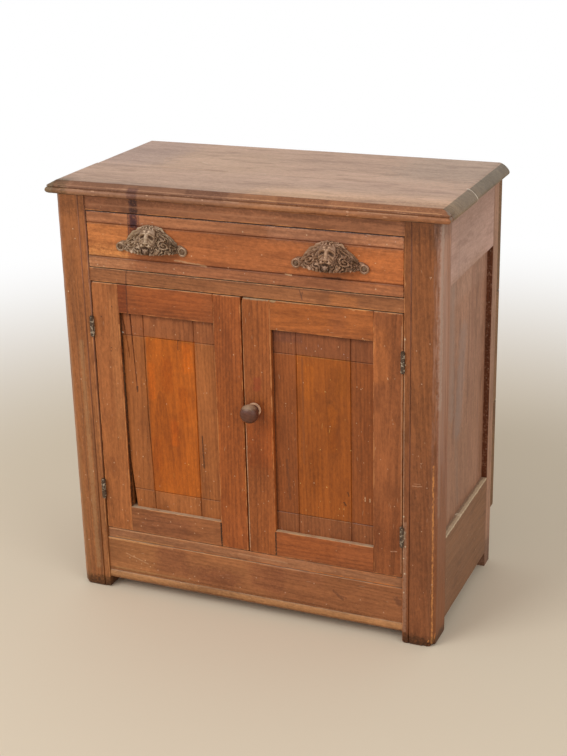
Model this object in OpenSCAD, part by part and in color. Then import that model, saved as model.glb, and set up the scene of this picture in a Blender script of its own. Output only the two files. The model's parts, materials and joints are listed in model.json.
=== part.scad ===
// Washstand: one drawer over a pair of panelled doors, on four square feet.
// x runs to the right, y to the back, z up. Each module is drawn with y = 0 at the
// front face of the posts, and placed() then centres the whole piece over the origin.

/* [Case] */
// Width over the posts
case_w = 670; // [560:1:900]
// Depth from the front face of the posts to the back face of the rear posts
case_d = 345; // [300:1:480]
// Height from the floor to the surface of the top
total_h = 750; // [700:1:900]
// How far the rails, drawer and doors lie behind the face of the posts
rail_set = 3; // [2:0.5:6]
// Length of the tenons of the rails
tenon_l = 22; // [12:1:24]
// Shoulder left beside a tenon
shoulder = 6; // [4:0.5:7]
// Clearance of a tenon, panel edge or dovetail in its socket
joint_fit = 0.2; // [0.1:0.05:0.3]

/* [Top] */
// Thickness of the top
top_t = 21; // [18:0.5:26]
// Overhang of the top past the sides of the case
top_side = 17; // [8:1:40]
// Overhang of the top past the face of the posts
top_front = 3; // [0:1:30]
// Overhang of the top past the back of the rear posts
top_back = 7; // [0:1:16]
// Width of the front board of the top, from nose to glue joint
top_split = 153; // [90:1:240]
// Gap of the dried-out glue joint between the two boards
top_seam = 0.4; // [0.1:0.1:0.6]
// Width of the moulded edge, from the arris to the nose
edge_w = 16; // [13:0.5:24]
// Fall of the slope of the moulded edge
edge_fall = 7.5; // [4:0.5:8]
// Radius of the bead along the edge
bead_r = 5.5; // [3:0.5:5.5]
// Depth of the quirk above the bead
quirk_in = 1.2; // [0.5:0.1:2]
// Height of the quirk above the bead
quirk_h = 1; // [0.5:0.1:1.4]

/* [Posts] */
// Width of a front post
post_w = 56; // [46:1:80]
// Depth of a front post
post_d = 60; // [54:1:90]
// Chamfer on the outer arris of a front post
post_chamfer = 10; // [3:0.5:12]
// Width of the strip between the scratched line and the inner edge of a front post
strip_w = 11.5; // [8:0.5:18]
// Width of the scratched line on a front post
scratch_w = 2.4; // [1:0.1:3]
// Width of a rear post, across the case
rear_post_w = 45; // [38:1:60]
// Depth of a rear post
rear_post_d = 31; // [26:1:50]
// Worn bevel round the foot of each post
foot_bevel = 3; // [1:0.5:5]

/* [Front frame] */
// Height of the rail under the top
top_rail_h = 24; // [20:0.5:36]
// Height of the drawer opening
drawer_h = 99; // [80:1:160]
// Height of the rail between drawer and doors
mid_rail_h = 23.5; // [20:0.5:36]
// Depth of the rails above and below the drawer, which lie flat
flat_rail_d = 50; // [40:1:54]
// Height of the floor's upper face above the ground
floor_z = 120; // [100:1:150]
// Thickness of the floor boards
floor_t = 19; // [15:0.5:24]
// How far the floor's front edge lies behind the apron
floor_set = 2; // [0:0.5:4]
// Height of the lower edge of the apron above the ground
apron_z = 20; // [12:1:40]
// Thickness of the apron
apron_t = 22; // [20:0.5:26]
// Height of the bead along the foot of the apron
apron_bead_h = 16.5; // [10:0.5:24]
// How far the apron's bead stands out from the apron
apron_bead_out = 1.5; // [0.5:0.5:2.5]

/* [Sides] */
// Thickness of the rails of the sides
side_t = 22; // [20:0.5:26]
// Height of the upper rail of a side
side_top_h = 115; // [60:1:160]
// Height above the ground of the lower rail's top edge
side_low_z = 180; // [140:1:220]
// Height above the ground of the lower rail's bottom edge
side_foot_z = 28; // [15:1:40]
// Thickness of the side panels
panel_t = 8; // [6:0.5:9]
// How far a side panel lies behind the face of its rails
panel_recess = 10; // [6:0.5:10]
// Depth of the groove that holds a panel
groove_d = 8; // [5:0.5:10]

/* [Back] */
// Thickness of the back boards
back_t = 18; // [12:0.5:22]
// Height above the ground of the back boards' lower edge
back_z = 106; // [102:1:130]
// Gap between one back board and the next
back_gap = 0.6; // [0.3:0.1:1]
// Height of the rail between the rear posts, under the top
rear_rail_h = 42; // [30:1:60]
// Thickness of the rail between the rear posts
rear_rail_t = 20; // [16:0.5:24]

/* [Doors] */
// Thickness of a door
door_t = 20; // [18:0.5:24]
// Width of the stiles of a door
stile_w = 50; // [40:1:70]
// Height of the upper rail of a door
door_top_h = 50; // [40:1:70]
// Height of the lower rail of a door
door_low_h = 47; // [40:1:80]
// Gap above and below a door
door_gap = 1.8; // [1.2:0.1:3]
// Gap at the hinges
hinge_gap = 1.6; // [1.2:0.1:2.4]
// Gap between the two doors
meeting_gap = 2.4; // [2:0.1:4]
// Thickness of a door panel
door_panel_t = 6; // [5:0.5:6.5]
// How far a door panel lies behind the face of its frame
door_recess = 8; // [5:0.5:8]
// Distance of the scratched lines from the frame of a door
line_in = 41; // [20:1:60]
// Width of a scratched line
line_w = 1.6; // [0.8:0.1:3]
// How far the left panel has drawn out of its stile at the foot
panel_shrink = 10; // [0:1:14]

/* [Hinges] */
// Length of a hinge
hinge_l = 34; // [26:1:50]
// Radius of a hinge's knuckle
knuckle_r = 3.5; // [3:0.1:4]
// Radius of a hinge's pin
pin_r = 1.5; // [1:0.1:1.8]
// Running clearance of the pin in the knuckle
pin_fit = 0.05; // [0.03:0.01:0.09]
// Thickness of a hinge's leaf
leaf_t = 1.4; // [1:0.1:1.8]
// Width of a hinge's leaf, from the pin's axis
leaf_w = 19; // [14:0.5:21]
// How far the pin's axis stands in front of the face of the posts
axis_out = 1.5; // [0.5:0.1:2.5]
// Distance from a door's top edge to the middle of its upper hinge
hinge_top = 78; // [40:1:120]
// Distance from a door's bottom edge to the middle of its lower hinge
hinge_low = 77; // [40:1:120]
// Radius of a hinge screw's shank
screw_r = 1.3; // [1:0.1:1.6]
// Length of a hinge screw
screw_l = 13; // [8:1:16]

/* [Drawer] */
// Gap round the drawer's front
drawer_gap = 1.4; // [1:0.1:2.5]
// Thickness of the drawer's front
front_t = 22; // [19:0.5:24]
// Thickness of the drawer's sides
drawer_side_t = 12; // [10:0.5:15]
// Thickness of the drawer's back
drawer_back_t = 12; // [9:0.5:15]
// Thickness of the drawer's bottom
drawer_bottom_t = 7; // [5:0.5:8]
// Height of the drawer's bottom above the lower edge of its sides
bottom_up = 10; // [8:0.5:16]
// Room between the drawer's back and the rail behind it
drawer_room = 6; // [2:1:30]
// How far the drawer's sides stop below the top of its front
side_down = 5; // [2:1:20]
// Number of dovetails at each front corner
tails = 4; // [3:1:6]
// Length of the dovetails
tail_l = 15; // [10:0.5:17]
// Distance of the scratched lines from the drawer front's edges
drawer_line_in = 19.5; // [10:0.5:28]

/* [Pulls] */
// Distance from the end of the drawer opening to the middle of the pull nearest to it
pull_in = 122; // [80:1:150]
// Height of a pull's tips above the lower edge of the drawer opening
pull_up = 42; // [30:1:60]
// Width of a pull over its tips
pull_w = 130; // [110:1:150]
// Width of a pull's hood
hood_w = 100; // [80:1:104]
// Height of a pull's crest above its tips
crest_h = 40; // [30:1:50]
// How far a pull's lip hangs below its tips
lip_drop = 2; // [0:0.5:10]
// How far a pull stands out from the drawer, over the lion's nose
pull_out = 29; // [22:1:33]
// Wall of a pull's hood
pull_wall = 2.2; // [1.6:0.1:3]
// Thickness of a pull's ears
ear_t = 3.5; // [2.5:0.1:5]

/* [Knob] */
// Diameter of the knob's ball
knob_d = 32; // [24:1:40]
// How far the knob stands out from the door
knob_out = 35; // [30:1:46]
// Distance from the door's free edge to the knob's middle
knob_in = 18; // [15:1:30]
// Height of the knob above the ground
knob_z = 388; // [300:1:450]
// Diameter of the collar behind the knob
collar_d = 24; // [20:1:28]
// Thickness of the collar
collar_t = 2.5; // [1.5:0.1:4]

/* [Hidden] */
$fn = 48;

WOOD = "#9a6240";
DARK_WOOD = "#7d5136";
PALE_WOOD = "#c09a6c";
ORANGE_WOOD = "#b5703a";
IRON = "#5a5550";
BRONZE = "#776650";

// Plan of the case, to the right of the middle
half_w = case_w / 2;
post_in = half_w - post_w;
side_in = half_w - side_t;
groove_out = half_w - panel_recess;
groove_in = groove_out - panel_t;
rear_in = half_w - rear_post_w;
rear_y = case_d - rear_post_d;

// Levels
case_h = total_h - top_t;
drawer_top = case_h - top_rail_h;
drawer_low = drawer_top - drawer_h;
door_top = drawer_low - mid_rail_h;
side_top_z = case_h - side_top_h;

// Depths
floor_y = rail_set + floor_set;
flat_rail_y = rail_set + flat_rail_d;
front_back = rail_set + front_t;
door_back = rail_set + door_t;

// The whole piece is centred over the origin between its foremost and hindmost points
fore_y = min(rail_set - max(knob_out, pull_out), -top_front);
hind_y = case_d + max(back_t, top_back);
centre_y = (fore_y + hind_y) / 2;

module placed() {
    translate([0, -centre_y, 0]) children();
}

module left_hand() {
    mirror([1, 0, 0]) children();
}

// Box between two opposite corners
module block(lo, hi) {
    translate(lo) cube(hi - lo);
}

// Socket for the box between two corners, with the joint's clearance all round
module socket(lo, hi) {
    g = [joint_fit, joint_fit, joint_fit];
    block(lo - g, hi + g);
}

// Outline of y and z values, drawn out along x between x0 and x1
module along_x(x0, x1) {
    translate([x0, 0, 0]) rotate([90, 0, 90]) linear_extrude(x1 - x0) children();
}

// Outline of x and z values, drawn out along y between y0 and y1
module along_y(y0, y1) {
    translate([0, y1, 0]) rotate([90, 0, 0]) linear_extrude(y1 - y0) children();
}

// V-shaped scratched lines on a face that looks to the front at y
module line_across(x0, x1, y, z, w = line_w) {
    along_x(x0, x1) polygon([[y - 1, z - w], [y + w / 2, z], [y - 1, z + w]]);
}
module line_upright(x, y, z0, z1, w = line_w) {
    translate([0, 0, z0]) linear_extrude(z1 - z0)
        polygon([[x - w, y - 1], [x + w, y - 1], [x, y + w / 2]]);
}

// Top

// Section of the moulded edge: zero at the arris, outwards to the nose
module edge_section(inward) {
    step = edge_w - bead_r / 2;
    polygon([
        [-inward, 0], [edge_w - bead_r, 0], [edge_w - bead_r, bead_r], [step - quirk_in, bead_r],
        [step - quirk_in, 2 * bead_r + quirk_h], [step, 2 * bead_r + quirk_h],
        [step, top_t - edge_fall], [0, top_t], [-inward, top_t]
    ]);
    translate([edge_w - bead_r, bead_r]) circle(bead_r);
}

top_half = half_w + top_side - edge_w;
top_arris_y = edge_w - top_front;
top_end_y = case_d + top_back;
top_seam_y = top_split - top_front;

module top_slab() {
    out = 2 * case_w;
    intersection() {
        translate([0, top_arris_y, case_h]) mirror([0, 1, 0]) along_x(-case_w, case_w) edge_section(out);
        translate([top_half, 0, case_h]) along_y(-out, top_end_y) edge_section(out);
        translate([-top_half, 0, case_h]) mirror([1, 0, 0]) along_y(-out, top_end_y) edge_section(out);
    }
}

module top_front_board() {
    color(WOOD) placed() intersection() {
        top_slab();
        block([-case_w, -case_d, 0], [case_w, top_seam_y - top_seam / 2, total_h + 1]);
    }
}

module top_back_board() {
    color(WOOD) placed() intersection() {
        top_slab();
        block([-case_w, top_seam_y + top_seam / 2, 0], [case_w, 2 * case_d, total_h + 1]);
    }
}

// Tenons of the rails, for the right-hand side

tenon_in = min(tenon_l, post_w - side_t - 4);

module flat_rail_tenon(z, h, grow = 0) {
    g = [grow, grow, grow];
    block([0, rail_set + shoulder, z + shoulder] - g,
          [post_in + tenon_in, flat_rail_y - shoulder, z + h - shoulder] + g);
}

module apron_tenon(grow = 0) {
    g = [grow, grow, grow];
    block([0, rail_set + shoulder, apron_z + apron_bead_h + shoulder] - g,
          [post_in + tenon_in, rail_set + apron_t - shoulder, floor_z - floor_t - shoulder] + g);
}

module side_rail_tenons(z, h, grow = 0) {
    g = [grow, grow, grow];
    block([groove_in, post_d - tenon_l, z + shoulder] - g,
          [groove_out, rear_y + tenon_l, z + h - shoulder] + g);
}

module rear_rail_tenon(grow = 0) {
    g = [grow, grow, grow];
    block([0, case_d - rear_rail_t + shoulder, case_h - rear_rail_h + shoulder] - g,
          [rear_in + tenon_l, case_d - shoulder, case_h - shoulder] + g);
}

// Posts

module foot_cut(x, y, w, d) {
    // keeps the square of a post, bevelled all round at the floor
    hull() {
        translate([x + foot_bevel, y + foot_bevel, 0])
            cube([w - 2 * foot_bevel, d - 2 * foot_bevel, foot_bevel]);
        translate([x, y, foot_bevel]) cube([w, d, case_h - foot_bevel]);
    }
}

module front_post() {
    mark = post_in + strip_w;
    difference() {
        intersection() {
            linear_extrude(case_h) polygon([
                [post_in, 0], [mark - scratch_w / 2, 0], [mark, scratch_w], [mark + scratch_w / 2, 0],
                [half_w - post_chamfer, 0], [half_w, post_chamfer], [half_w, post_d], [post_in, post_d]
            ]);
            foot_cut(post_in, 0, post_w, post_d);
        }
        flat_rail_tenon(drawer_top, top_rail_h, joint_fit);
        flat_rail_tenon(door_top, mid_rail_h, joint_fit);
        apron_tenon(joint_fit);
        side_rail_tenons(side_top_z, side_top_h, joint_fit);
        side_rail_tenons(side_foot_z, side_low_z - side_foot_z, joint_fit);
        socket([groove_in, post_d - groove_d, side_low_z - groove_d],
               [groove_out, post_d + 1, side_top_z + groove_d]);
        for (z = hinge_levels) hinge_gain(z);
    }
}

module front_post_left() { color(DARK_WOOD) placed() left_hand() front_post(); }
module front_post_right() { color(DARK_WOOD) placed() front_post(); }

module rear_post() {
    difference() {
        foot_cut(rear_in, rear_y, rear_post_w, rear_post_d);
        side_rail_tenons(side_top_z, side_top_h, joint_fit);
        side_rail_tenons(side_foot_z, side_low_z - side_foot_z, joint_fit);
        socket([groove_in, rear_y - 1, side_low_z - groove_d],
               [groove_out, rear_y + groove_d, side_top_z + groove_d]);
        rear_rail_tenon(joint_fit);
    }
}

module rear_post_left() { color(DARK_WOOD) placed() left_hand() rear_post(); }
module rear_post_right() { color(DARK_WOOD) placed() rear_post(); }

// Rails of the front frame

module both_hands() {
    children();
    left_hand() children();
}

module front_top_rail() {
    color(DARK_WOOD) placed() {
        block([-post_in, rail_set, drawer_top], [post_in, flat_rail_y, case_h]);
        both_hands() flat_rail_tenon(drawer_top, top_rail_h);
    }
}

runner_t = 18;
runner_in = post_in - 26;
stub = 8;

module runner_stub(grow = 0) {
    g = [grow, grow, grow];
    block([runner_in + 4, flat_rail_y - stub, drawer_low - runner_t + 4] - g,
          [post_in - 4, flat_rail_y + 1, drawer_low - 4] + g);
}

module mid_rail() {
    color(DARK_WOOD) placed() difference() {
        union() {
            block([-post_in, rail_set, door_top], [post_in, flat_rail_y, drawer_low]);
            both_hands() flat_rail_tenon(door_top, mid_rail_h);
        }
        both_hands() runner_stub(joint_fit);
    }
}

module apron_rail() {
    color(WOOD) placed() {
        block([-post_in, rail_set, apron_z + apron_bead_h], [post_in, rail_set + apron_t, floor_z - floor_t]);
        both_hands() apron_tenon();
    }
}

module apron_bead() {
    r = apron_bead_h / 2;
    y_face = rail_set - apron_bead_out;
    color(ORANGE_WOOD) placed() along_x(-post_in, post_in) {
        translate([y_face + r / 2, apron_z + r]) intersection() {
            circle(r);
            translate([-r / 2, -r]) square([r, 2 * r]);
        }
        translate([y_face + r / 2, apron_z]) square([rail_set + apron_t - y_face - r / 2, apron_bead_h]);
    }
}

// Floor, in two boards notched round the posts

floor_split = floor_y + (case_d - floor_y) * 0.5;

module floor_plan() {
    difference() {
        translate([-side_in, floor_y]) square([2 * side_in, case_d - floor_y]);
        for (s = [-1, 1]) {
            x0 = s > 0 ? post_in : -half_w;
            translate([x0, floor_y - 1]) square([post_w, post_d - floor_y + 1]);
            x1 = s > 0 ? rear_in : -half_w;
            translate([x1, rear_y]) square([rear_post_w, rear_post_d + 1]);
        }
    }
}

module floor_board(y0, y1) {
    translate([0, 0, floor_z - floor_t]) linear_extrude(floor_t) intersection() {
        floor_plan();
        translate([-case_w, y0]) square([2 * case_w, y1 - y0]);
    }
}

module floor_front_board() { color(WOOD) placed() floor_board(0, floor_split - back_gap / 2); }
module floor_back_board() { color(WOOD) placed() floor_board(floor_split + back_gap / 2, case_d); }

// Sides

module side_top_rail() {
    difference() {
        union() {
            block([side_in, post_d, side_top_z], [half_w, rear_y, case_h]);
            side_rail_tenons(side_top_z, side_top_h);
        }
        socket([groove_in, post_d - tenon_l - 1, side_top_z - 1],
               [groove_out, rear_y + tenon_l + 1, side_top_z + groove_d]);
    }
}

module side_bottom_rail() {
    difference() {
        union() {
            block([side_in, post_d, side_foot_z], [half_w, rear_y, side_low_z]);
            side_rail_tenons(side_foot_z, side_low_z - side_foot_z);
        }
        socket([groove_in, post_d - tenon_l - 1, side_low_z - groove_d],
               [groove_out, rear_y + tenon_l + 1, side_low_z + 1]);
    }
}

module side_panel() {
    reach = groove_d - 1;
    block([groove_in, post_d - reach, side_low_z - reach], [groove_out, rear_y + reach, side_top_z + reach]);
}

module side_top_rail_left() { color(WOOD) placed() left_hand() side_top_rail(); }
module side_top_rail_right() { color(WOOD) placed() side_top_rail(); }
module side_bottom_rail_left() { color(WOOD) placed() left_hand() side_bottom_rail(); }
module side_bottom_rail_right() { color(WOOD) placed() side_bottom_rail(); }
module side_panel_left() { color(DARK_WOOD) placed() left_hand() side_panel(); }
module side_panel_right() { color(DARK_WOOD) placed() side_panel(); }

// Back

module rear_top_rail() {
    color(WOOD) placed() {
        block([-rear_in, case_d - rear_rail_t, case_h - rear_rail_h], [rear_in, case_d, case_h]);
        both_hands() rear_rail_tenon();
    }
}

back_h = (case_h - back_z - 2 * back_gap) / 3;

module back_board(i) {
    z = back_z + i * (back_h + back_gap);
    block([-half_w, case_d, z], [half_w, case_d + back_t, z + back_h]);
}

module back_board_lower() { color(PALE_WOOD) placed() back_board(0); }
module back_board_middle() { color(PALE_WOOD) placed() back_board(1); }
module back_board_upper() { color(PALE_WOOD) placed() back_board(2); }

// What carries the drawer

// Strip along the side, notched at its front end round the post
module side_strip(z) {
    block([runner_in, flat_rail_y, z], [post_in, rear_y, z + runner_t]);
    block([post_in - 1, post_d, z], [side_in, rear_y, z + runner_t]);
}

module drawer_runner() {
    side_strip(drawer_low - runner_t);
    runner_stub();
}

module drawer_guide() {
    guide_h = 20;
    block([post_in - 0.2, post_d, drawer_low], [side_in, rear_y, drawer_low + guide_h]);
}

module drawer_kicker() {
    side_strip(drawer_top);
}

module drawer_runner_left() { color(PALE_WOOD) placed() left_hand() drawer_runner(); }
module drawer_runner_right() { color(PALE_WOOD) placed() drawer_runner(); }
module drawer_guide_left() { color(PALE_WOOD) placed() left_hand() drawer_guide(); }
module drawer_guide_right() { color(PALE_WOOD) placed() drawer_guide(); }
module drawer_kicker_left() { color(PALE_WOOD) placed() left_hand() drawer_kicker(); }
module drawer_kicker_right() { color(PALE_WOOD) placed() drawer_kicker(); }

// Room between a stop and the piece that it stops
stop_room = 0.3;

module drawer_stops() {
    stop_w = 40;
    stop_d = 14;
    stop_h = 6;
    stop_y = front_back + stop_room;
    color(PALE_WOOD) placed() both_hands()
        block([pull_x - stop_w / 2, stop_y, drawer_low], [pull_x + stop_w / 2, stop_y + stop_d, drawer_low + stop_h]);
}

module floor_cleats() {
    cleat = 20;
    color(PALE_WOOD) placed() both_hands()
        block([side_in - cleat, post_d, floor_z - floor_t - cleat], [side_in, rear_y, floor_z - floor_t]);
}

// Three-cornered blocks glued under the top and behind the apron
module corner_block(x, y, z, up) {
    leg = 20;
    l = 50;
    translate([x - l / 2, y, z]) rotate([90, 0, 90]) linear_extrude(l)
        polygon([[0, 0], [leg, 0], [0, up * leg]]);
}

module glue_blocks() {
    color(PALE_WOOD) placed() {
        for (x = [-post_in / 2, post_in / 2])
            corner_block(x, flat_rail_y, case_h, -1);
        for (x = [-post_in / 2, 0, post_in / 2])
            corner_block(x, rail_set + apron_t, floor_z - floor_t, -1);
        for (x = [-post_in / 2, post_in / 2])
            translate([0, 2 * (case_d - rear_rail_t), 0]) mirror([0, 1, 0])
                corner_block(x, case_d - rear_rail_t, case_h, -1);
    }
}

module door_stop() {
    stop_w = 120;
    stop_d = 15.7;
    stop_h = 12;
    stop_y = door_back + stop_room;
    color(PALE_WOOD) placed()
        block([-stop_w / 2, stop_y, door_top - stop_h], [stop_w / 2, stop_y + stop_d, door_top]);
}

// Hinges: the right-hand door's, seen from the front

door_edge = post_in - hinge_gap;
door_low_z = floor_z + door_gap;
door_high_z = door_top - door_gap;
hinge_levels = [door_low_z + hinge_low, door_high_z - hinge_top];
axis_x = post_in - hinge_gap / 2;
knuckles = 5;
knuckle_l = hinge_l / knuckles;
knuckle_gap = 0.3;
pin_head = 1.4;
screw_places = [-hinge_l / 4, hinge_l / 4];
screw_y = leaf_w * 0.6 - axis_out;
head_r = 2 * screw_r;
head_h = leaf_t * 0.8;

// Room cut in the post's edge for a knuckle, the leaf and its screws
module hinge_gain(z) {
    translate([axis_x, -axis_out, z - hinge_l / 2 - pin_head - knuckle_gap])
        cylinder(r = knuckle_r + 0.4, h = hinge_l + 2 * (pin_head + knuckle_gap));
    block([post_in - 1, -axis_out, z - hinge_l / 2], [post_in + leaf_t, leaf_w - axis_out, z + hinge_l / 2]);
    for (dz = screw_places)
        translate([post_in, screw_y, z + dz]) rotate([0, 90, 0])
            cylinder(r = screw_r + 0.05, h = screw_l + 0.3);
}

// Room cut in the door's edge for the leaf and its screws
module door_gain(z) {
    translate([axis_x, -axis_out, z - hinge_l / 2 - pin_head - knuckle_gap])
        cylinder(r = knuckle_r + 0.4, h = hinge_l + 2 * (pin_head + knuckle_gap));
    block([door_edge - leaf_t, -axis_out, z - hinge_l / 2], [door_edge + 1, leaf_w - axis_out, z + hinge_l / 2]);
    for (dz = screw_places)
        translate([door_edge, screw_y, z + dz]) rotate([0, -90, 0])
            cylinder(r = screw_r + 0.05, h = screw_l + 0.3);
}

// Barrel pieces numbered from the bottom, those of one leaf
module barrels(z, first, grow = 0) {
    for (i = [first : 2 : knuckles - 1])
        translate([axis_x, -axis_out, z - hinge_l / 2 + i * knuckle_l + knuckle_gap / 2 - grow])
            cylinder(r = knuckle_r + grow, h = knuckle_l - knuckle_gap + 2 * grow);
}

module screw_hole(x, z, way) {
    for (dz = screw_places)
        translate([x, screw_y, z + dz]) rotate([0, way * 90, 0]) {
            cylinder(r = screw_r + 0.05, h = leaf_t + 1);
            translate([0, 0, -0.01]) cylinder(r1 = head_r + 0.1, r2 = screw_r + 0.05, h = head_h + 0.01, $fn = 24);
        }
}

module post_leaf(z) {
    difference() {
        union() {
            difference() {
                block([post_in, -axis_out, z - hinge_l / 2 + 0.1],
                      [post_in + leaf_t, leaf_w - axis_out - 0.1, z + hinge_l / 2 - 0.1]);
                barrels(z, 1, 0.3);
            }
            barrels(z, 0);
        }
        translate([axis_x, -axis_out, z - hinge_l]) cylinder(r = pin_r + pin_fit, h = 2 * hinge_l);
        screw_hole(post_in, z, 1);
    }
}

module door_leaf(z) {
    difference() {
        union() {
            difference() {
                block([door_edge - leaf_t, -axis_out, z - hinge_l / 2 + 0.1],
                      [door_edge, leaf_w - axis_out - 0.1, z + hinge_l / 2 - 0.1]);
                barrels(z, 0, 0.3);
            }
            barrels(z, 1);
        }
        translate([axis_x, -axis_out, z - hinge_l]) cylinder(r = pin_r + pin_fit, h = 2 * hinge_l);
        screw_hole(door_edge, z, -1);
    }
}

module hinge_pin(z) {
    translate([axis_x, -axis_out, z - hinge_l / 2 - 0.1]) cylinder(r = pin_r, h = hinge_l + 0.2);
    for (end = [-1, 1])
        translate([axis_x, -axis_out, z + end * (hinge_l + pin_head) / 2 - pin_head / 2])
            cylinder(r = pin_r + 1, h = pin_head);
}

module hinge_screw(x, z, way) {
    for (dz = screw_places)
        translate([x, screw_y, z + dz]) rotate([0, way * 90, 0]) {
            cylinder(r = screw_r, h = screw_l);
            translate([0, 0, 0.05]) cylinder(r1 = head_r, r2 = screw_r, h = head_h, $fn = 24);
        }
}

module post_hinge_leaves() { color(IRON) placed() both_hands() for (z = hinge_levels) post_leaf(z); }
module hinge_pins() { color(IRON) placed() both_hands() for (z = hinge_levels) hinge_pin(z); }
module post_hinge_screws() {
    color(IRON) placed() both_hands() for (z = hinge_levels) hinge_screw(post_in, z, 1);
}
module right_door_hinge_leaves() { color(IRON) placed() for (z = hinge_levels) door_leaf(z); }
module left_door_hinge_leaves() { color(IRON) placed() left_hand() for (z = hinge_levels) door_leaf(z); }
module right_door_hinge_screws() { color(IRON) placed() for (z = hinge_levels) hinge_screw(door_edge, z, -1); }
module left_door_hinge_screws() {
    color(IRON) placed() left_hand() for (z = hinge_levels) hinge_screw(door_edge, z, -1);
}

// Doors, drawn as the right-hand one

door_free = meeting_gap / 2;
door_open_0 = door_free + stile_w;
door_open_1 = door_edge - stile_w;
open_low_z = door_low_z + door_low_h;
open_high_z = door_high_z - door_top_h;
door_groove_y = rail_set + door_recess;
door_tenon_l = stile_w - 10;

// Groove for the panel along the inner edges of the frame
module door_groove() {
    g = joint_fit / 2;
    block([door_open_0 - groove_d, door_groove_y - g, open_low_z - groove_d],
          [door_open_1 + groove_d, door_groove_y + door_panel_t + g, open_high_z + groove_d]);
}

module door_rail_tenon(z, h, grow = 0) {
    g = [grow, grow, grow];
    block([door_open_0 - door_tenon_l, door_groove_y, z + shoulder] - g,
          [door_open_1 + door_tenon_l, door_groove_y + door_panel_t, z + h - shoulder] + g);
}

module door_stile(x) {
    difference() {
        block([x, rail_set, door_low_z], [x + stile_w, door_back, door_high_z]);
        door_groove();
        door_rail_tenon(open_high_z, door_top_h, joint_fit);
        door_rail_tenon(door_low_z, door_low_h, joint_fit);
        for (z = hinge_levels) door_gain(z);
        translate([door_free + knob_in, rail_set - 1, knob_z]) rotate([-90, 0, 0])
            cylinder(r = knob_screw_r + 0.1, h = door_t + 2);
    }
}

module door_rail(z, h) {
    difference() {
        union() {
            block([door_open_0, rail_set, z], [door_open_1, door_back, z + h]);
            door_rail_tenon(z, h);
        }
        block([0, door_groove_y - joint_fit / 2, open_low_z - groove_d],
              [post_in, door_groove_y + door_panel_t + joint_fit / 2, open_high_z + groove_d]);
    }
}

// Panel with two upright and two level scratched lines
module door_panel(shrink) {
    reach = groove_d - 1;
    x0 = door_open_0 - reach;
    x1 = door_open_1 + reach;
    z0 = open_low_z - reach;
    z1 = open_high_z + reach;
    difference() {
        along_y(door_groove_y, door_groove_y + door_panel_t)
            polygon([[x0, z0], [x1 - (shrink > 0 ? reach + shrink : 0), z0],
                     [x1, shrink > 0 ? (z0 + z1) / 2 : z1], [x1, z1], [x0, z1]]);
        for (x = [door_open_0 + line_in, door_open_1 - line_in])
            line_upright(x, door_groove_y, z0 - 1, z1 + 1);
        for (z = [open_low_z + line_in - 6, open_high_z - line_in])
            line_across(x0 - 1, x1 + 1, door_groove_y, z);
    }
}

module right_door_hinge_stile() { color(WOOD) placed() door_stile(door_open_1); }
module right_door_meeting_stile() { color(WOOD) placed() door_stile(door_free); }
module right_door_top_rail() { color(WOOD) placed() door_rail(open_high_z, door_top_h); }
module right_door_bottom_rail() { color(WOOD) placed() door_rail(door_low_z, door_low_h); }
module right_door_panel() { color(ORANGE_WOOD) placed() door_panel(0); }
module left_door_hinge_stile() { color(WOOD) placed() left_hand() door_stile(door_open_1); }
module left_door_meeting_stile() {
    color(WOOD) placed() left_hand() difference() {
        block([door_free, rail_set, door_low_z], [door_open_0, door_back, door_high_z]);
        door_groove();
        door_rail_tenon(open_high_z, door_top_h, joint_fit);
        door_rail_tenon(door_low_z, door_low_h, joint_fit);
    }
}
module left_door_top_rail() { color(WOOD) placed() left_hand() door_rail(open_high_z, door_top_h); }
module left_door_bottom_rail() { color(WOOD) placed() left_hand() door_rail(door_low_z, door_low_h); }
module left_door_panel() { color(ORANGE_WOOD) placed() left_hand() door_panel(panel_shrink); }

// Knob, turned about its axis, with its collar and the screw through the door

knob_screw_r = 2.4;
knob_head_r = 5;

module at_knob() {
    placed() translate([door_free + knob_in, rail_set, knob_z]) rotate([90, 0, 0]) children();
}

module door_knob() {
    r = knob_d / 2;
    ball = knob_out - r * 0.8;
    neck_r = collar_d / 2 - 3;
    color(DARK_WOOD) at_knob() difference() {
        rotate_extrude($fn = 64) {
            intersection() {
                translate([0, ball]) union() {
                    circle(r = r * 0.8);
                    translate([r * 0.2, 0]) circle(r = r * 0.8);
                }
                translate([0, collar_t]) square([r, knob_out]);
            }
            polygon([[0, collar_t], [neck_r, collar_t], [neck_r - 2, (collar_t + ball) / 2], [neck_r, ball], [0, ball]]);
        }
        translate([0, 0, -1]) cylinder(r = knob_screw_r + 0.1, h = ball + 1);
    }
}

module knob_collar() {
    color(ORANGE_WOOD) at_knob() difference() {
        rotate_extrude() {
            square([collar_d / 2 - collar_t / 2, collar_t]);
            translate([collar_d / 2 - collar_t / 2, collar_t / 2]) circle(collar_t / 2);
        }
        translate([0, 0, -1]) cylinder(r = knob_screw_r + 0.1, h = collar_t + 2);
    }
}

module knob_screw() {
    ball = knob_out - knob_d * 0.4;
    color(IRON) at_knob() {
        translate([0, 0, -door_t]) cylinder(r = knob_screw_r, h = door_t + ball - 0.5);
        translate([0, 0, -door_t - 2]) cylinder(r1 = knob_head_r - 1, r2 = knob_head_r, h = 2, $fn = 32);
    }
}

// Drawer, its right-hand side drawn

drawer_half = post_in - drawer_gap;
drawer_z0 = drawer_low + drawer_gap;
drawer_z1 = drawer_top - drawer_gap;
side_z0 = drawer_low + 0.3;
side_z1 = drawer_z1 - side_down;
drawer_in = drawer_half - drawer_side_t;
drawer_end = case_d - rear_rail_t - drawer_room;
bottom_z = side_z0 + bottom_up;
bottom_in = drawer_side_t / 2;
tail_pitch = (side_z1 - side_z0 - 8) / tails;
tail_flare = 2.4;

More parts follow.
